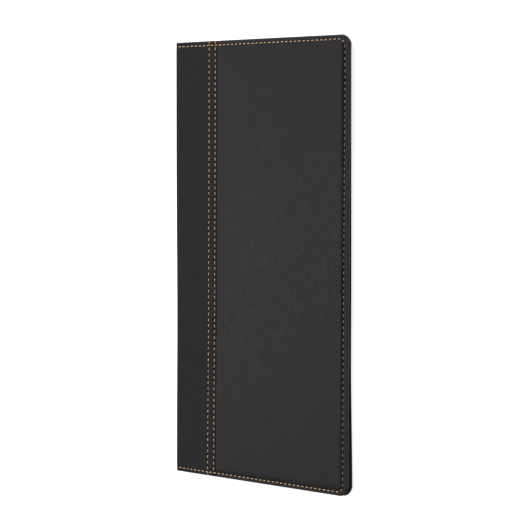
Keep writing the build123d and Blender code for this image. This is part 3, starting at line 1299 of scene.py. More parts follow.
@dataclass(frozen=True)
class CoverPanel(TurnedLeather):
    """The smooth leather of one cover: a padded panel inside a thin sewn edge strip.

    Attributes:
        strip_depth: how far the sewn edge strip lies below the padded panel.
        head_strip_depth: how far the strip lies below the panel at the head.
        fore_roll: width of the panel's roll-off at the fore edge, from the head to the foot.
        head_roll: width of the roll-off at the head.
        foot_roll: width of the roll-off at the foot.
        corner_roll: width of the roll-off across the corners.
        roll_start: how far inside the seam the roll-off starts.
        foot_fade: how far below the middle the foot's looser fit starts and is complete.
        foot_looseness: how much less sharp the crease is at the foot.
        end_sharpness: how sharp the crease is along the head and the foot.
        press: the line that the seam presses, at distances inside the seam.
        crease: the crease at the foot of the roll-off.
        pillow: the swelling of the strip outside the seam.
        fore_shade: how dark the crease is along the fore edge, from 0 to 1.
        seam_shade: how dark it is under the fore edge's seam.
        head_shade: how dark it is along the head.
        foot_shade: how dark it is along the foot.
        mouth_shade: how dark the back cover's rim is above the pocket's mouth.
        lap_depth: depth of the leather where the spine panel laps over it.
        lap_reach: how far past the lap's edge the leather has risen again.
        rim_tuck: how much deeper the rim is drawn in at the lap.
        tuck: how far the turned-in tongue is drawn in under the spine panel's.
        tuck_reach: how far past the lap's edge it is.
        slow_wave: height of the panel's slow unevenness.
    """

    TITLE = "cover_skin"
    NODE = "cover_leather"
    SLOT = Slot.SMOOTH
    WALL = 0.26

    strip_depth: float = 0.46
    head_strip_depth: float = 0.06
    fore_roll: tuple[float, float] = (0.9, 2.6)
    head_roll: float = 2.0
    foot_roll: float = 6.0
    corner_roll: float = 0.9
    roll_start: float = 0.25
    foot_fade: tuple[float, float] = (-10, 95)
    foot_looseness: float = 0.6
    end_sharpness: float = 0.15
    press: Bulge = Bulge(0.07, 0.0, 0.35)
    crease: Bulge = Bulge(0.04, 0.5, 0.25)
    pillow: Bulge = Bulge(-0.08, -1.3, 0.75)
    fore_shade: Bulge = Bulge(1.0, 1.25, 1.1)
    seam_shade: Bulge = Bulge(0.85, 0.0, 0.5)
    head_shade: Bulge = Bulge(0.12, 0.6, 0.8)
    foot_shade: Bulge = Bulge(0.6, 1.0, 1.5)
    mouth_shade: float = 0.9
    lap_depth: float = 0.31
    lap_reach: float = 1.6
    rim_tuck: float = 0.15
    tuck: float = 0.34
    tuck_reach: float = 0.5
    slow_wave: float = 0.03

    def roll_off(self, inside: float, width: float, depth: float) -> float:
        """Return the depth of the padded panel's rounded edge at a distance inside the seam."""
        share = min(1.0, max(0.0, 1 - (inside - self.roll_start) / width))
        return depth * (1 - math.sqrt(1 - share * share))

    def sharpness(self, y: float) -> float:
        """Return how sharp the crease along the fore edge is, from 0 to 1."""
        return 1 - self.foot_looseness * smoothstep(*self.foot_fade, -y)

    def outer_depth(self, x: float, y: float) -> float:
        """Return the depth of the leather's outer face at a point of the plan."""
        seams = self.seams
        inside = seams.inside(x, y)
        fore_width = mix(*self.fore_roll, smoothstep(*self.foot_fade, -y))
        at_head = smoothstep(seams.seam_y - 6, seams.seam_y + 1, y)
        deep = mix(self.strip_depth, self.head_strip_depth, at_head)
        end_width = self.head_roll if y > 0 else self.foot_roll
        at_fore = self.roll_off(min(inside, seams.seam_x - x), fore_width, deep)
        at_end = self.roll_off(seams.from_end(y), end_width, deep)
        level = max(at_fore, at_end, self.roll_off(inside, self.corner_roll, deep))
        beside_fore = seams.seam_x - x < seams.from_end(y)
        sharp = self.sharpness(y) if beside_fore else self.end_sharpness
        pressed = self.press.at(inside) + sharp * self.crease.at(inside) + self.pillow.at(inside)
        wave = self.slow_wave * (ripple(x, y, 7.0, 28) + 0.6)
        depth = max(0.0, level + pressed + wave * smoothstep(2, 8, inside))
        tucked = self.lap_depth + self.rim_tuck * smoothstep(0, 1.2, -inside)
        return mix(depth, tucked, bell(max(0.0, x - self.layout.lap_x), self.lap_reach))

    def tuck_in(self, spot: Vector) -> None:
        """Draw the turned-in tongue in under the spine panel's own turned-in edge."""
        drawn = self.tuck * bell(max(0.0, spot.x - self.layout.lap_x), self.tuck_reach)
        start = self.layout.half_length - 1.0
        spot.z -= drawn * smoothstep(self.lap_depth + 0.2, self.layout.cover_thickness, spot.z)
        if abs(spot.y) > start:
            spot.y -= math.copysign(drawn * (abs(spot.y) - start), spot.y)

    def wear_and_highlight_gap(self, x: float, y: float) -> float:
        """Return the distance from the front cover's fore edge, which opens it and carries wear and a
        painted highlight.
        """
        return self.outline.fore_x - x if self.side is Side.FRONT else FAR_AWAY

    def crease_shade(self, x: float, y: float) -> float:
        """Return how dark the crease along the padded edge is, from 0 to 1."""
        inside = self.seams.inside(x, y)
        if self.seams.seam_x - x < self.seams.from_end(y):
            return max(self.sharpness(y) * self.fore_shade.at(inside), self.seam_shade.at(inside))
        return self.head_shade.at(inside) if y > 0 else self.foot_shade.at(inside)

    def rim_shade(self, x: float, y: float) -> float:
        """Return how dark the back cover's rim is, from 0 to 1."""
        above_mouth = smoothstep(-2.5, 0.5, y - self.layout.pocket_mouth_y)
        return self.mouth_shade * above_mouth * smoothstep(self.seams.seam_x, self.outline.fore_x, x)

    def columns(self) -> list[float]:
        """Return the grid's lines along X."""
        outline, lap_x = self.outline, self.layout.lap_x
        lines = [self.layout.tongue_x, lap_x, *(lap_x + step for step in PAST_LAP_LINES)]
        lines += [self.seams.seam_x - step for step in SEAM_LINES]
        return filled([*lines, outline.centre_x, outline.fore_x - self.rim_radius], LEATHER_STEP)

    def rows(self) -> list[float]:
        """Return the grid's lines along Y, out to where the rim starts."""
        ends = [sign * line for line in (self.outline.centre_y, self.end_y) for sign in (-1, 1)]
        lines = filled([*ends, *self.seams.end_lines()], LEATHER_STEP)
        return [line for line in lines if abs(line) <= self.end_y + NUDGE]

    def mesh(self) -> bmesh.types.BMesh:
        """Return the turned-in leather."""
        outline, seams = self.outline, self.seams
        mesh = lattice(self.columns(), self.rows())
        for vert in mesh.verts:
            x, y = outline.rounded(vert.co.x, vert.co.y, self.rim_radius)
            vert.co = (x, y, self.outer_depth(x, y))
        bmesh.ops.reverse_faces(mesh, faces=mesh.faces[:])
        start_x = self.layout.tongue_x + NUDGE
        free = [e for e in mesh.edges if e.is_boundary and max(v.co.x for v in e.verts) > start_x]
        self.turn_in(mesh, free, seams.inside)
        for vert in mesh.verts:
            self.tuck_in(vert.co)
        mark_seams(mesh, seams.border(), self.wear_and_highlight_gap)
        shade = mesh.verts.layers.float.new(CREASE_ATTRIBUTE)
        for vert in mesh.verts:
            x, y, depth = vert.co
            if depth < self.layout.cover_thickness - 2 * FLAP_MARGIN:
                vert[shade] = self.crease_shade(x, y)
            if self.side is Side.BACK and outline.edge_gap(x, y) < 1.0:
                vert[shade] = self.rim_shade(x, y)
        return mesh


@dataclass(frozen=True)
class SpinePanel(TurnedLeather):
    """Half of the grained spine panel, from its lap round to the middle of the spine.

    Attributes:
        end_press: the line that the border seam presses, at distances inside the seam.
        row_press: the line that each of the twin rows presses.
        lap_edge: how far the panel's edge drops, at distances from it.
        pillow: how far the panel drops away from the twin rows.
        slow_wave: height of the panel's slow unevenness.
        thinning: where the strip starts to thicken and is thick, from the board's edge.
        middle_width: width of the last faces beside the middle of the spine.
    """

    TITLE = "spine_panel"
    NODE = "spine_leather"
    FOLD_NODE = "fold_spine_leather"
    SLOT = Slot.GRAINED
    WALL = 0.26

    end_press: Bulge = Bulge(0.16, 0.0, 0.35)
    row_press: Bulge = Bulge(0.16, 0.0, 0.42)
    lap_edge: Bulge = Bulge(0.10, 0.0, 0.25)
    pillow: float = 0.05
    slow_wave: float = 0.02
    thinning: tuple[float, float] = (-0.55, 0.1)
    middle_width: float = 0.06

    @property
    def outline(self) -> Outline:
        """Plan of the panel, which has no corner of its own."""
        return Outline(FAR_AWAY * 10, self.layout.half_length)

    def outer_depth(self, x: float, y: float) -> float:
        """Return the depth of the panel's outer face at a point of the plan."""
        inside = self.seams.from_end(y)
        first, second = self.seams.rows
        level = self.strip_depth * (1 - smoothstep(0.2, 2.2, inside))
        rows = max(self.row_press.at(x - first), self.row_press.at(x - second))
        pressed = max(self.end_press.at(inside), rows)
        pillow = self.pillow - self.pillow * bell(x - (first + second) / 2, 1.3)
        edge = self.lap_edge.at(x - self.layout.lap_x)
        wave = self.slow_wave * (ripple(x, y, 3.0, 18) + 0.5) * smoothstep(1, 6, inside)
        return max(0.0, level + pressed + pillow + edge + wave)

    def inner_share(self, x: float) -> float:
        """Return the strip's thickness at x as a share of its thickness over the board."""
        thin, thick = (self.layout.board_x + step for step in self.thinning)
        return mix(FOLD_THICKNESS / self.layout.cover_thickness, 1, smoothstep(thin, thick, x))

    def columns(self) -> list[float]:
        """Return the grid's lines along X, the last few of them round the fold."""
        layout = self.layout
        lines = [layout.lap_x - step for step in LAP_EDGE_INSETS]
        lines += [row + step for row in self.seams.rows for step in TWIN_ROW_LINES]
        lines += [layout.board_x + step for step in BOARD_EDGE_LINES]
        middle_x = layout.fold_x - layout.fold_run
        return filled([*lines, *layout.fold_lines(), middle_x + self.middle_width], LEATHER_STEP)

    def rows(self) -> list[float]:
        """Return the grid's lines along Y."""
        lines = [line for line in self.seams.end_lines() if abs(line) < self.end_y - 0.1]
        return filled([-self.end_y, *lines, self.end_y], LEATHER_STEP)

    def mesh(self) -> bmesh.types.BMesh:
        """Return the half panel, flat."""
        mesh = lattice(self.columns(), self.rows())
        for vert in mesh.verts:
            vert.co.z = self.outer_depth(vert.co.x, vert.co.y)
        bmesh.ops.reverse_faces(mesh, faces=mesh.faces[:])
        end_y = self.end_y - NUDGE
        free = [e for e in mesh.edges if e.is_boundary and min(abs(v.co.y) for v in e.verts) > end_y]
        self.turn_in(mesh, free, lambda x, y: self.seams.from_end(y))
        for vert in mesh.verts:
            vert.co.z *= self.inner_share(vert.co.x)
        mark_seams(mesh, self.seams.border(), self.outline.edge_gap, self.seams.lap())
        return mesh


@dataclass(frozen=True)
class HingeLining(CoverPart):
    """Half of the lining strip down the gutter, from a board round to the middle of the spine.

    Attributes:
        end_gap: how far its ends stop short of the turned-in leather.
        riser_gap: how far from the board's edge it goes down to the fold.
        corner: radius of the two corners that it makes there.
        turn_steps: number of faces round such a corner.
        soft_end: how far its ends drop.
        pucker: height of its puckers.
    """

    TITLE = "gutter_lining"
    NODE = "hinge_lining"
    FOLD_NODE = "fold_hinge_lining"
    SLOT = Slot.LINING
    WALL = 0.24

    end_gap: float = 0.1
    riser_gap: float = 0.3
    corner: float = 0.3
    turn_steps: int = 4
    soft_end: float = 0.05
    pucker: float = 0.03

    def section(self) -> list[tuple[float, float]]:
        """Return x and depth of the strip's visible face, from the board to the fold."""
        layout, inner = self.layout, self.layout.cover_thickness
        riser_x = layout.board_x - self.riser_gap
        points = [(layout.hinge_strip_x, inner - 0.05), (layout.hinge_strip_x - 0.2, inner)]
        points += [(layout.hinge_strip_x - step, inner) for step in (1.5, 3.0, 4.5)]
        turns = [math.pi / 2 * index / self.turn_steps for index in range(self.turn_steps + 1)]
        for turn in turns:
            x = riser_x + self.corner * (1 - math.sin(turn))
            points.append((x, inner - self.corner * (1 - math.cos(turn))))
        for turn in turns:
            x = riser_x - self.corner * (1 - math.cos(turn))
            points.append((x, FOLD_THICKNESS + self.corner * (1 - math.sin(turn))))
        return [*points, *((x, FOLD_THICKNESS) for x in layout.fold_lines())]

    def mesh(self) -> bmesh.types.BMesh:
        """Return the half strip, flat."""
        section = self.section()
        end_y = self.layout.turn_in_y - self.end_gap
        rows = filled([-end_y, -end_y + 0.2, end_y - 0.2, end_y], LINING_STEP)
        mesh = lattice([float(index) for index in range(len(section))], rows)
        for vert in mesh.verts:
            x, depth = section[round(vert.co.x)]
            dropped = self.soft_end if abs(vert.co.y) > end_y - 0.1 else 0.0
            pucker = self.pucker * noise.noise(Vector((x * 0.5, vert.co.y / 6, 1.0)))
            vert.co = (x, vert.co.y, depth - dropped + min(0.0, pucker))
        return mesh


@dataclass(frozen=True)
class CoverLining(CoverPart):
    """The lining sheet of one cover, inside the frame of turned-in leather.

    Attributes:
        gap: how far it stops short of the leather and of the hinge lining.
        edge: how far its edge drops, at distances from it.
        edge_lines: distances from its edges of the grid's lines there.
        slow_wave: height of its slow unevenness.
    """

    TITLE = "lining_sheet"
    NODE = "lining"
    SLOT = Slot.LINING
    WALL = 0.26

    gap: float = 0.08
    edge: Bulge = Bulge(0.06, 0.0, 0.2)
    edge_lines: tuple[float, ...] = (0.0, 0.12, 0.35, 0.8)
    slow_wave: float = 0.02

    def mesh(self) -> bmesh.types.BMesh:
        """Return the sheet with softly turned edges."""
        end_x = self.layout.fore_x[self.side] - TURN_IN - self.gap
        end_y = self.layout.turn_in_y - self.gap
        start_x = self.layout.hinge_strip_x + self.gap
        columns = [start_x + line for line in self.edge_lines] + [end_x - line for line in self.edge_lines]
        rows = [sign * (end_y - line) for line in self.edge_lines for sign in (-1, 1)]
        mesh = lattice(filled(columns, LINING_STEP), filled(rows, LINING_STEP))
        for vert in mesh.verts:
            x, y = vert.co.x, vert.co.y
            gap = min(x - start_x, end_x - x, end_y - abs(y))
            wave = self.slow_wave * (ripple(x, y, 2.0, 15) - 0.6)
            vert.co.z = self.layout.cover_thickness - self.edge.at(gap) + wave * smoothstep(0, 2, gap)
        return mesh


@dataclass(frozen=True)
class BillPocket(CoverPart):
    """A bill pocket: a sheet with a hemmed mouth, turned edges and, at the back, a card slit.

    Attributes:
        edge_inset: how far in from the cover's fore edge it ends.
        slit_width: width of the card slit.
        slit_height: how far the slit stands open.
        slit_depth: how far below the pocket's mouth it lies.
        turned: how far the edges drop, at distances from them.
        press: the line that each seam presses.
        edge_lines: distances from its edges of the grid's lines there.
        belly: height of its slow unevenness.
    """

    TITLE = "bill_pocket"
    NODE = "pocket"
    SLOT = Slot.SMOOTH
    WALL = 0.2

    edge_inset: float = 0.9
    slit_width: float = 92.0
    slit_height: float = 1.2
    slit_depth: float = 24.0
    turned: Bulge = Bulge(0.35, 0.0, 0.16)
    press: Bulge = Bulge(0.08, 0.0, 0.35)
    edge_lines: tuple[float, ...] = (0.0, 0.1, 0.25, 0.5, 1.2)
    belly: float = 0.03

    @property
    def has_slit(self) -> bool:
        """Only the back pocket has a card slit."""
        return self.side is Side.BACK

    @property
    def outline(self) -> Outline:
        """Plan of the pocket's fore edge and foot."""
        end_x = self.layout.fore_x[self.side] - self.edge_inset
        return Outline(end_x, -self.layout.pocket_foot_y, Outline.radius - self.edge_inset)

    @property
    def slit_centre(self) -> tuple[float, float]:
        """Place of the card slit's middle."""
        x = (self.layout.pocket_x + self.outline.fore_x) / 2
        return x, self.layout.pocket_mouth_y - self.slit_depth

    def sheet(self) -> bmesh.types.BMesh:
        """Return the flat grid of the pocket."""
        layout, seams = self.layout, self.seams
        start_x, end_x = layout.pocket_x, self.outline.fore_x
        foot_y, mouth_y = layout.pocket_foot_y, layout.pocket_mouth_y
        columns = [start_x + line for line in self.edge_lines] + [end_x - line for line in self.edge_lines]
        rows = [foot_y + line for line in self.edge_lines] + [mouth_y - line for line in self.edge_lines]
        for run_x in (start_x + seams.pocket_side_inset, seams.seam_x):
            columns += [run_x + step for step in POCKET_SEAM_LINES]
        for run_y in (seams.end_ys[1], mouth_y - seams.mouth_inset):
            rows += [run_y + step for step in POCKET_SEAM_LINES]
        if self.has_slit:
            slit_x, slit_y = self.slit_centre
            half_width, half_height = self.slit_width / 2, self.slit_height / 2
            columns += [slit_x + sign * (half_width + s) for sign in (-1, 1) for s in (-0.3, 0, 0.5)]
            rows += [slit_y + sign * (half_height + s) for sign in (-1, 1) for s in (0, 0.25, 0.6, 1.2)]
        return lattice(filled(columns, LINING_STEP), filled(rows, LINING_STEP))

    def cut_slit(self, mesh: bmesh.types.BMesh) -> None:
        """Take the faces of the card slit out."""
        slit_x, slit_y = self.slit_centre
        hole = []
        for face in mesh.faces:
            x, y, _ = face.calc_center_median()
            if abs(x - slit_x) < self.slit_width / 2 and abs(y - slit_y) < self.slit_height / 2:
                hole.append(face)
        bmesh.ops.delete(mesh, geom=hole, context="FACES")

    def mesh(self) -> bmesh.types.BMesh:
        """Return the pocket's sheet, which lies on the lining."""
        layout, outline = self.layout, self.outline
        start_x, mouth_y = layout.pocket_x, layout.pocket_mouth_y
        mesh = self.sheet()
        runs = [*self.seams.border(), *self.seams.pocket()]
        for vert in mesh.verts:
            x, y = vert.co.x, vert.co.y
            if y < 0:
                x, y = outline.rounded(x, y, 0.0)
            gap, _ = nearest(runs, x, y)
            edge = min(x - start_x, mouth_y - y, outline.edge_gap(x, min(y, 0.0)))
            drop = self.turned.at(max(0.0, edge)) + self.press.at(gap)
            belly = self.belly * ripple(x, y, 5.0, 20) - self.belly
            vert.co = (x, y, layout.pocket_depth - drop + belly * smoothstep(0.5, 3, gap))
        if self.has_slit:
            self.cut_slit(mesh)
        end_x, foot_y = outline.fore_x, layout.pocket_foot_y
        mark_seams(mesh, runs, lambda x, y: min(x - start_x, mouth_y - y, end_x - x, y - foot_y))
        return mesh


@dataclass(frozen=True)
class CoverBoard(CoverPart):
    """The chipboard that stiffens one cover.

    Attributes:
        inset: how far inside the leather it ends.
        ease: width of its eased edges.
        corner_steps: number of faces round a corner.
        strip: length of the strips that it is cut in, so that it can flex.
    """

    TITLE = "stiffener_board"
    NODE = "board"
    SLOT = Slot.BOARD

    inset: float = 0.62
    ease: float = 0.1
    corner_steps: int = 8
    strip: float = 12.0

    def slab(self) -> bmesh.types.BMesh:
        """Return a plain block in the board's place."""
        low, high = self.layout.board_depth
        start_x, end_x = self.layout.board_x, self.outline.fore_x - self.inset
        size = Vector((end_x - start_x, 2 * (self.layout.half_length - self.inset), high - low))
        centre = Vector(((start_x + end_x) / 2, 0, (low + high) / 2))
        mesh = bmesh.new()
        bmesh.ops.create_cube(mesh, size=1)
        bmesh.ops.scale(mesh, vec=size, verts=mesh.verts[:])
        bmesh.ops.translate(mesh, vec=centre, verts=mesh.verts[:])
        return mesh

    @staticmethod
    def height(edge: bmesh.types.BMEdge) -> float:
        """Return how far apart an edge's ends lie in depth."""
        return abs(edge.verts[0].co.z - edge.verts[1].co.z)

    @staticmethod
    def bevel(mesh: bmesh.types.BMesh, edges: list[bmesh.types.BMEdge], width: float, steps: int) -> None:
        """Round some edges."""
        settings = {"offset": width, "segments": steps, "affect": "EDGES", "profile": 0.5, "material": -1}
        bmesh.ops.bevel(mesh, geom=edges, **settings)

    def mesh(self) -> bmesh.types.BMesh:
        """Return the board as a slab with eased edges."""
        mesh = self.slab()
        upright = [e for e in mesh.edges if self.height(e) > NUDGE and e.verts[0].co.x > 0]
        self.bevel(mesh, upright, Outline.radius - self.inset, self.corner_steps)
        flat = [e for e in mesh.edges if self.height(e) < NUDGE]
        self.bevel(mesh, flat, self.ease, 2)
        end_y = self.layout.half_length - self.inset
        for y in filled([-end_y, end_y], self.strip)[1:-1]:
            geometry = mesh.verts[:] + mesh.edges[:] + mesh.faces[:]
            bmesh.ops.bisect_plane(mesh, geom=geometry, plane_co=(0, y, 0), plane_no=(0, 1, 0))
        bmesh.ops.recalc_face_normals(mesh, faces=mesh.faces[:])
        return mesh


@dataclass(frozen=True)
class Stitch:
    """One stitch of three-ply thread that comes up out of one hole and goes down the next.

    Attributes:
        length: distance between its two ends.
        radius: radius of the thread.
        rise: how far its middle stands above its ends.
        slant: how far it is turned from the line of the seam, in degrees.
        proud: how far its middle's centre line stands over the leather.
        facets: number of faces round it.
        bands: number of faces along it.
        plies: radius of the corners of one ply, as shares of the thread's.
        twist: how far the plies turn along one band, in degrees.
        taper: how much thinner the ends are.
    """

    length: float = 2.35
    radius: float = 0.28
    rise: float = 0.5
    slant: float = 5.0
    proud: float = 0.12
    facets: int = 9
    bands: int = 8
    plies: tuple[float, ...] = (1.06, 1.0, 0.8)
    twist: float = 40.0
    taper: float = 0.3

    def mesh(self) -> bmesh.types.BMesh:
        """Build the stitch along X at the origin, rising to -Z, with its UV map wound on."""
        mesh = bmesh.new()
        made = bmesh.ops.create_circle(mesh, segments=self.facets, radius=self.radius)
        ring = made["verts"]
        quarter = Matrix.Rotation(math.radians(90), 3, "Y")
        bmesh.ops.rotate(mesh, verts=ring, cent=(0, 0, 0), matrix=quarter)
        for index, vert in enumerate(ring):
            share = self.plies[index % len(self.plies)]
            vert.co.y *= share
            vert.co.z *= share
        bmesh.ops.translate(mesh, verts=ring, vec=(-self.length / 2, 0, self.rise))
        edges = mesh.edges[:]
        for band in range(1, self.bands + 1):
            made = bmesh.ops.extrude_edge_only(mesh, edges=edges)["geom"]
            edges = [item for item in made if isinstance(item, bmesh.types.BMEdge)]
            ring = [item for item in made if isinstance(item, bmesh.types.BMVert)]
            before, after = self.centre(band - 1), self.centre(band)
            bmesh.ops.translate(mesh, verts=ring, vec=after - before)
            turn = Matrix.Rotation(math.radians(self.twist), 3, "X")
            bmesh.ops.rotate(mesh, verts=ring, cent=after, matrix=turn)
        loops = [e for e in mesh.edges if e.is_boundary]
        ends = [[e for e in loops if e.verts[0].co.x < 0], [e for e in loops if e.verts[0].co.x > 0]]
        for end in ends:
            bmesh.ops.edgeloop_fill(mesh, edges=end)
        for vert in mesh.verts:
            share = abs(vert.co.x) * 2 / self.length
            middle = Vector((vert.co.x, 0, self.centre_height(vert.co.x)))
            taper = 1 - self.taper * smoothstep(0.6, 1.0, share)
            vert.co = middle + (vert.co - middle) * taper
        bmesh.ops.recalc_face_normals(mesh, faces=mesh.faces[:])
        self.unwrap(mesh)
        return mesh

    def data(self) -> bpy.types.Mesh:
        """Return the stitch as mesh data, to be copied and then removed."""
        mesh = self.mesh()
        data = bpy.data.meshes.new("stitch")
        mesh.to_mesh(data)
        mesh.free()
        return data

    def centre_height(self, x: float) -> float:
        """Return the depth of the thread's centre line at x."""
        return self.rise * (2 * abs(x) / self.length) ** 3

    def centre(self, band: int) -> Vector:
        """Return the thread's centre at the end of a band."""
        x = self.length * (band / self.bands - 0.5)
        return Vector((x, 0, self.centre_height(x)))

    def unwrap(self, mesh: bmesh.types.BMesh) -> None:
        """Lay a UV map along the thread and round it."""
        layer = mesh.loops.layers.uv.new(UV_MAP)
        for face in mesh.faces:
            middle = face.calc_center_median()
            base = math.atan2(middle.z - self.centre_height(middle.x), middle.y)
            for loop in face.loops:
                place = loop.vert.co
                angle = math.atan2(place.z - self.centre_height(place.x), place.y)
                while angle - base > math.pi:
                    angle -= 2 * math.pi
                while angle - base < -math.pi:
                    angle += 2 * math.pi
                loop[layer].uv = (place.x / self.length + 0.5, angle / (2 * math.pi))


def add_copy(mesh: bmesh.types.BMesh, data: bpy.types.Mesh) -> list[bmesh.types.BMVert]:
    """Add a copy of some mesh data to a mesh and return the copy's points."""
    known = len(mesh.verts)
    mesh.from_mesh(data)
    mesh.verts.ensure_lookup_table()
    return mesh.verts[known:]


@dataclass(frozen=True)
class Placed:
    """Where one stitch goes: a point of a cover's plan, its heading and the face it lies on.

    Attributes:
        x: place of its middle along X.
        y: place of its middle along Y.
        heading: direction of the seam, in radians.
        inner_level: depth of the inner face that it lies on, or None for the outer face.
    """

    x: float
    y: float
    heading: float
    inner_level: float | None = None


@dataclass(frozen=True)
class Stitching(CoverPart):
    """All the thread of one cover.

    Attributes:
        outer: a stitch on the outer leather.
        inner: a stitch on the turned-in leather or a pocket.
        sway: how far the stitches stray from their slant, in degrees.
        sunk: how far the inner stitches sink in.
        clearance: how far from a board's or a pocket's edge they keep.
        thread_shade_width: how far inside the fore seam the thread starts to get painted shade, where it
            lies in the padded panel's crease.
    """

    outer: Stitch = Stitch()
    inner: Stitch = Stitch(length=2.5, radius=0.2, rise=0.3, slant=-4.0)
    sway: float = 4.0
    sunk: float = 0.08
    clearance: float = 0.12
    thread_shade_width: float = 2.0

    def surface(self, x: float, y: float) -> float:
        """Return the depth of the cover's outer face, over the rim at the head and foot too."""
        layout = self.layout
        ground = CoverPanel if x > layout.lap_x else SpinePanel
        leather = ground(layout, self.side)
        past_rim = max(0.0, leather.rim_radius - (layout.half_length - abs(y)))
        drop = leather.rim_radius - math.sqrt(max(0.0, leather.rim_radius**2 - past_rim**2))
        return leather.outer_depth(x, y) + drop

    def sew(self, bench: Bench, kind: str, places: Sequence[Placed]) -> None:
        """Make one piece of all the stitches that belong to a node.

        Args:
            bench: lays the thread on its cover.
            kind: the thread's kind, as in the node's name.
            places: where each stitch goes.
        """
        thread = bmesh.new()
        thread.loops.layers.uv.new(UV_MAP)
        # This layer carries painted shade for thread in the padded panel's crease.
        thread_shade_layer = thread.verts.layers.float.new(CREASE_ATTRIBUTE)
        fore_x = self.seams.seam_x
        masters = {stitch: stitch.data() for stitch in (self.outer, self.inner)}
        for index, place in enumerate(places):
            outer = place.inner_level is None
            stitch = self.outer if outer else self.inner
            wobble = noise.noise(Vector((index * 0.73, place.x * 0.11, place.y * 0.13)))
            turn = place.heading + math.radians(stitch.slant + self.sway * wobble)
            along = Vector((math.cos(turn), math.sin(turn)))
            across = along.orthogonal()
            thread_painted_shade = smoothstep(fore_x - self.thread_shade_width, fore_x, place.x) if outer else 0.0
            for vert in add_copy(thread, masters[stitch]):
                axis = Vector((place.x, place.y)) + along * vert.co.x
                spot = axis + across * vert.co.y
                depth = vert.co.z - stitch.proud
                vert[thread_shade_layer] = thread_painted_shade
                if outer:
                    vert.co = (spot.x, spot.y, self.surface(axis.x, axis.y) + depth)
                else:
                    vert.co = (spot.x, spot.y, place.inner_level - depth)
        for data in masters.values():
            bpy.data.meshes.remove(data)
        bmesh.ops.recalc_face_normals(thread, faces=thread.faces[:])
        bench.lay(thread, self.side)
        if self.side is Side.FRONT:
            bmesh.ops.recalc_face_normals(thread, faces=thread.faces[:])
        bench.sewn(self.side.node(kind), thread, self.side.body)

    @staticmethod
    def stitches(runs: Sequence[Run], inner_level: float | None = None) -> list[Placed]:
        """Return where the stitches of some seams go."""
        return [Placed(*stitch, inner_level) for run in runs for stitch in run.stitches()]

    def lap_ends(self) -> list[Placed]:
        """Return the stitches with which the twin rows run out over the head and the foot."""
        end_y = self.layout.half_length - self.outer.length / 2
        first, second = self.seams.rows
        ends = [(first, end_y), (second, end_y), (first, -end_y)]
        return [Placed(x, y, math.pi / 2) for x, y in ends]

    def build(self, bench: Bench) -> None:
        """Sew the border, the lap, the inside of the border and the pocket."""
        layout, seams = self.layout, self.seams
        border = self.stitches(seams.border())
        self.sew(bench, "border_thread", border)
        self.sew(bench, "seam_thread", self.stitches(seams.lap()) + self.lap_ends())
        on_pocket, on_flap = layout.pocket_depth - self.sunk, layout.cover_thickness - self.sunk
        self.sew(bench, "pocket_thread", self.stitches(seams.pocket(), on_pocket))
        reach = self.inner.length / 2 + self.clearance
        bobbin = []
        for stitch in border:
            from_side, from_mouth = stitch.x - layout.pocket_x, layout.pocket_mouth_y - stitch.y
            crosses_edge = min(abs(from_side), abs(from_mouth)) <= reach
            crosses_board = stitch.x - layout.board_x <= reach
            if crosses_board or (crosses_edge and max(from_side, from_mouth) > 0):
                continue
            level = on_pocket if min(from_side, from_mouth) > reach else on_flap
            bobbin.append(replace(stitch, inner_level=level))
        self.sew(bench, "bobbin_thread", bobbin)


@dataclass(frozen=True)
class SpineStitches:
    """The two stitches that cross the middle of the spine, at the head and the foot.

    Attributes:
        layout: where everything lies.
        stitch: one of the stitches.
        strip_depth: depth of the leather under them.
    """

    layout: Layout
    stitch: Stitch = Stitch(length=2.3, rise=0.3)
    strip_depth: float = 0.06

    def build(self, bench: Bench) -> None:
        """Bend each stitch round the fold and let it ride with the spine."""
        layout = self.layout
        thread = bmesh.new()
        thread.loops.layers.uv.new(UV_MAP)
        data = self.stitch.data()
        for y in Seams(layout, Side.BACK).end_ys:
            for vert in add_copy(thread, data):
                flat_x = layout.fold_x - layout.fold_run + abs(vert.co.x)
                depth = self.strip_depth + vert.co.z - self.stitch.proud
                x, z = bench.fold(flat_x, depth)
                x += bench.handwork.shift(layout, Side.BACK, x, y)
                z = z if vert.co.x < 0 else layout.closed_thickness - z
                vert.co = Vector((x, y + vert.co.y, z)) * MM
        bpy.data.meshes.remove(data)
        bmesh.ops.recalc_face_normals(thread, faces=thread.faces[:])
        bench.sewn("fold_border_thread", thread, "spine_fold")


# Studio
# ------


@dataclass(frozen=True)
class Softbox:
    """A square lamp that looks at the folder.

    Attributes:
        name: the lamp's name.
        place: where it hangs, in metres.
        size: length of its side, in metres.
        power: its power, in watts.
    """

    name: str
    place: tuple[float, float, float]
    size: float
    power: float

    def build(self) -> None:
        """Hang the lamp."""
        lamp = bpy.data.lights.new(self.name, "AREA")
        lamp.shape = "SQUARE"
        lamp.size = self.size
        lamp.energy = self.power
        item = bpy.data.objects.new(self.name, lamp)
        item.location = self.place
        item.rotation_mode = "QUATERNION"
        item.rotation_quaternion = (-Vector(self.place)).to_track_quat("-Z", "Y")
        bpy.context.scene.collection.objects.link(item)


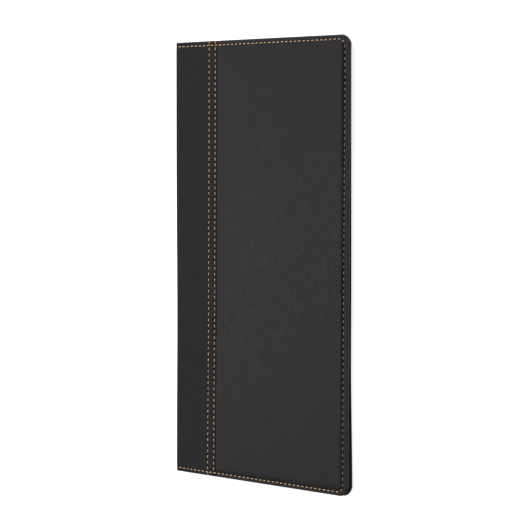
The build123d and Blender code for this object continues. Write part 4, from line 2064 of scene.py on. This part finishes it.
@dataclass(frozen=True)
class Studio:
    """A pale floor, soft lamps and the camera.

    Attributes:
        camera_place: where the camera stands, in millimetres.
        turn: how far the camera looks round from straight down on the folder, in degrees.
        pitch: how far it looks down towards the foot, in degrees.
        roll: its own roll, in degrees.
        lens: focal length on the sensor, in millimetres.
        sensor: width of the sensor, in millimetres.
        floor_size: length of the floor's side, in metres.
        floor_drop: how far the floor lies below the folder, in metres.
        floor_shade: the floor's own colour.
        floor_glow: how far the floor shines for rays that see it.
        world_light: strength of the light from all round.
        backdrop_white: brightness of what shows beyond the floor.
        lamps: the lamps.
    """

    camera_place: tuple[float, float, float] = (872.1, 63.3, 866.3)
    turn: float = 45.17
    pitch: float = 3.03
    roll: float = 0.084
    lens: float = 146.34
    sensor: float = 36.0
    floor_size: float = 6.0
    floor_drop: float = 0.0002
    floor_shade: Colour = (0.8, 0.8, 0.8, 1)
    floor_glow: float = 0.8
    world_light: float = 0.2
    backdrop_white: float = 1.0
    lamps: tuple[Softbox, ...] = (
        Softbox("KeyLamp", (-1.3, 2.4, 1.0), 0.8, 125.0),
        Softbox("SheenLamp", (-1.1, -0.08, 1.15), 0.3, 3.5),
        Softbox("RimLamp", (1.3, 0.0, 0.5), 0.3, 1.0),
        Softbox("TopLamp", (0.1, 0.1, 1.6), 0.5, 3.0),
    )

    @staticmethod
    def seen(graph: Graph) -> Socket:
        """Return 1 for rays that see the background, straight or by reflection, and 0 for light."""
        rays = graph.add("LightPath")
        seen = graph.math("MAXIMUM", rays.outputs["Is Camera Ray"], rays.outputs["Is Glossy Ray"])
        return graph.math("MAXIMUM", seen, rays.outputs["Is Transmission Ray"])

    def floor(self) -> None:
        """Lay a pale floor that shows white to the camera and keeps a soft shadow."""
        mesh = bmesh.new()
        bmesh.ops.create_grid(mesh, x_segments=1, y_segments=1, size=self.floor_size / 2)
        bmesh.ops.translate(mesh, verts=mesh.verts[:], vec=(0, 0, -self.floor_drop))
        data = bpy.data.meshes.new("Floor")
        mesh.to_mesh(data)
        mesh.free()
        material, graph, shader = new_material("PaleFloor")
        shader.inputs["Base Color"].default_value = self.floor_shade
        shader.inputs["Roughness"].default_value = 0.9
        shader.inputs["Specular IOR Level"].default_value = 0.0
        strength = graph.math("MULTIPLY", self.seen(graph), self.floor_glow)
        glow = graph.add("Emission", {"Color": WHITE, "Strength": strength})
        total = graph.add("AddShader", {0: shader.outputs[0], 1: glow.outputs[0]})
        output = material.node_tree.nodes["Material Output"]
        graph.feed(output.inputs["Surface"], total.outputs[0])
        data.materials.append(material)
        item = bpy.data.objects.new("Floor", data)
        bpy.context.scene.collection.objects.link(item)

    def world(self) -> None:
        """Light everything a little from all round, and show white beyond the floor."""
        world = bpy.data.worlds.new("StudioWorld")
        bpy.context.scene.world = world
        world.use_nodes = True
        graph = Graph(world.node_tree)
        surround = world.node_tree.nodes["Background"]
        surround.inputs["Color"].default_value = WHITE
        inputs = {"Value": self.seen(graph), "To Min": self.world_light, "To Max": self.backdrop_white}
        strength = graph.add("MapRange", inputs).outputs["Result"]
        graph.feed(surround.inputs["Strength"], strength)

    def camera(self) -> None:
        """Set the camera up in front of the folder, its top to the head."""
        turn = Matrix.Rotation(math.radians(self.turn), 4, "Y")
        pitch = Matrix.Rotation(math.radians(-self.pitch), 4, "X")
        roll = Matrix.Rotation(math.radians(self.roll), 4, "Z")
        lens = bpy.data.cameras.new("Camera")
        lens.lens = self.lens
        lens.sensor_width = self.sensor
        lens.clip_start, lens.clip_end = 0.05, 20.0
        item = bpy.data.objects.new("Camera", lens)
        place = Matrix.Translation(Vector(self.camera_place) * MM)
        item.matrix_world = place @ turn @ pitch @ roll
        bpy.context.scene.collection.objects.link(item)
        bpy.context.scene.camera = item

    def build(self) -> None:
        """Set up the whole studio."""
        bpy.context.scene.view_settings.view_transform = "Standard"
        self.floor()
        self.world()
        self.camera()
        for lamp in self.lamps:
            lamp.build()


COVER_PARTS = (CoverBoard, CoverPanel, SpinePanel, HingeLining, CoverLining, BillPocket, Stitching)


def main() -> None:
    """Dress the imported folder, piece by piece, and set up the studio."""
    logging.basicConfig(level=logging.INFO, format="%(name)s: %(message)s")
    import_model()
    layout = Layout.from_frame()
    bench = Bench(layout, Handwork(), build_materials())
    for side in Side:
        for part in COVER_PARTS:
            part(layout, side).build(bench)
    SpineStitches(layout).build(bench)
    Studio().build()


if __name__ == "__main__":
    main()
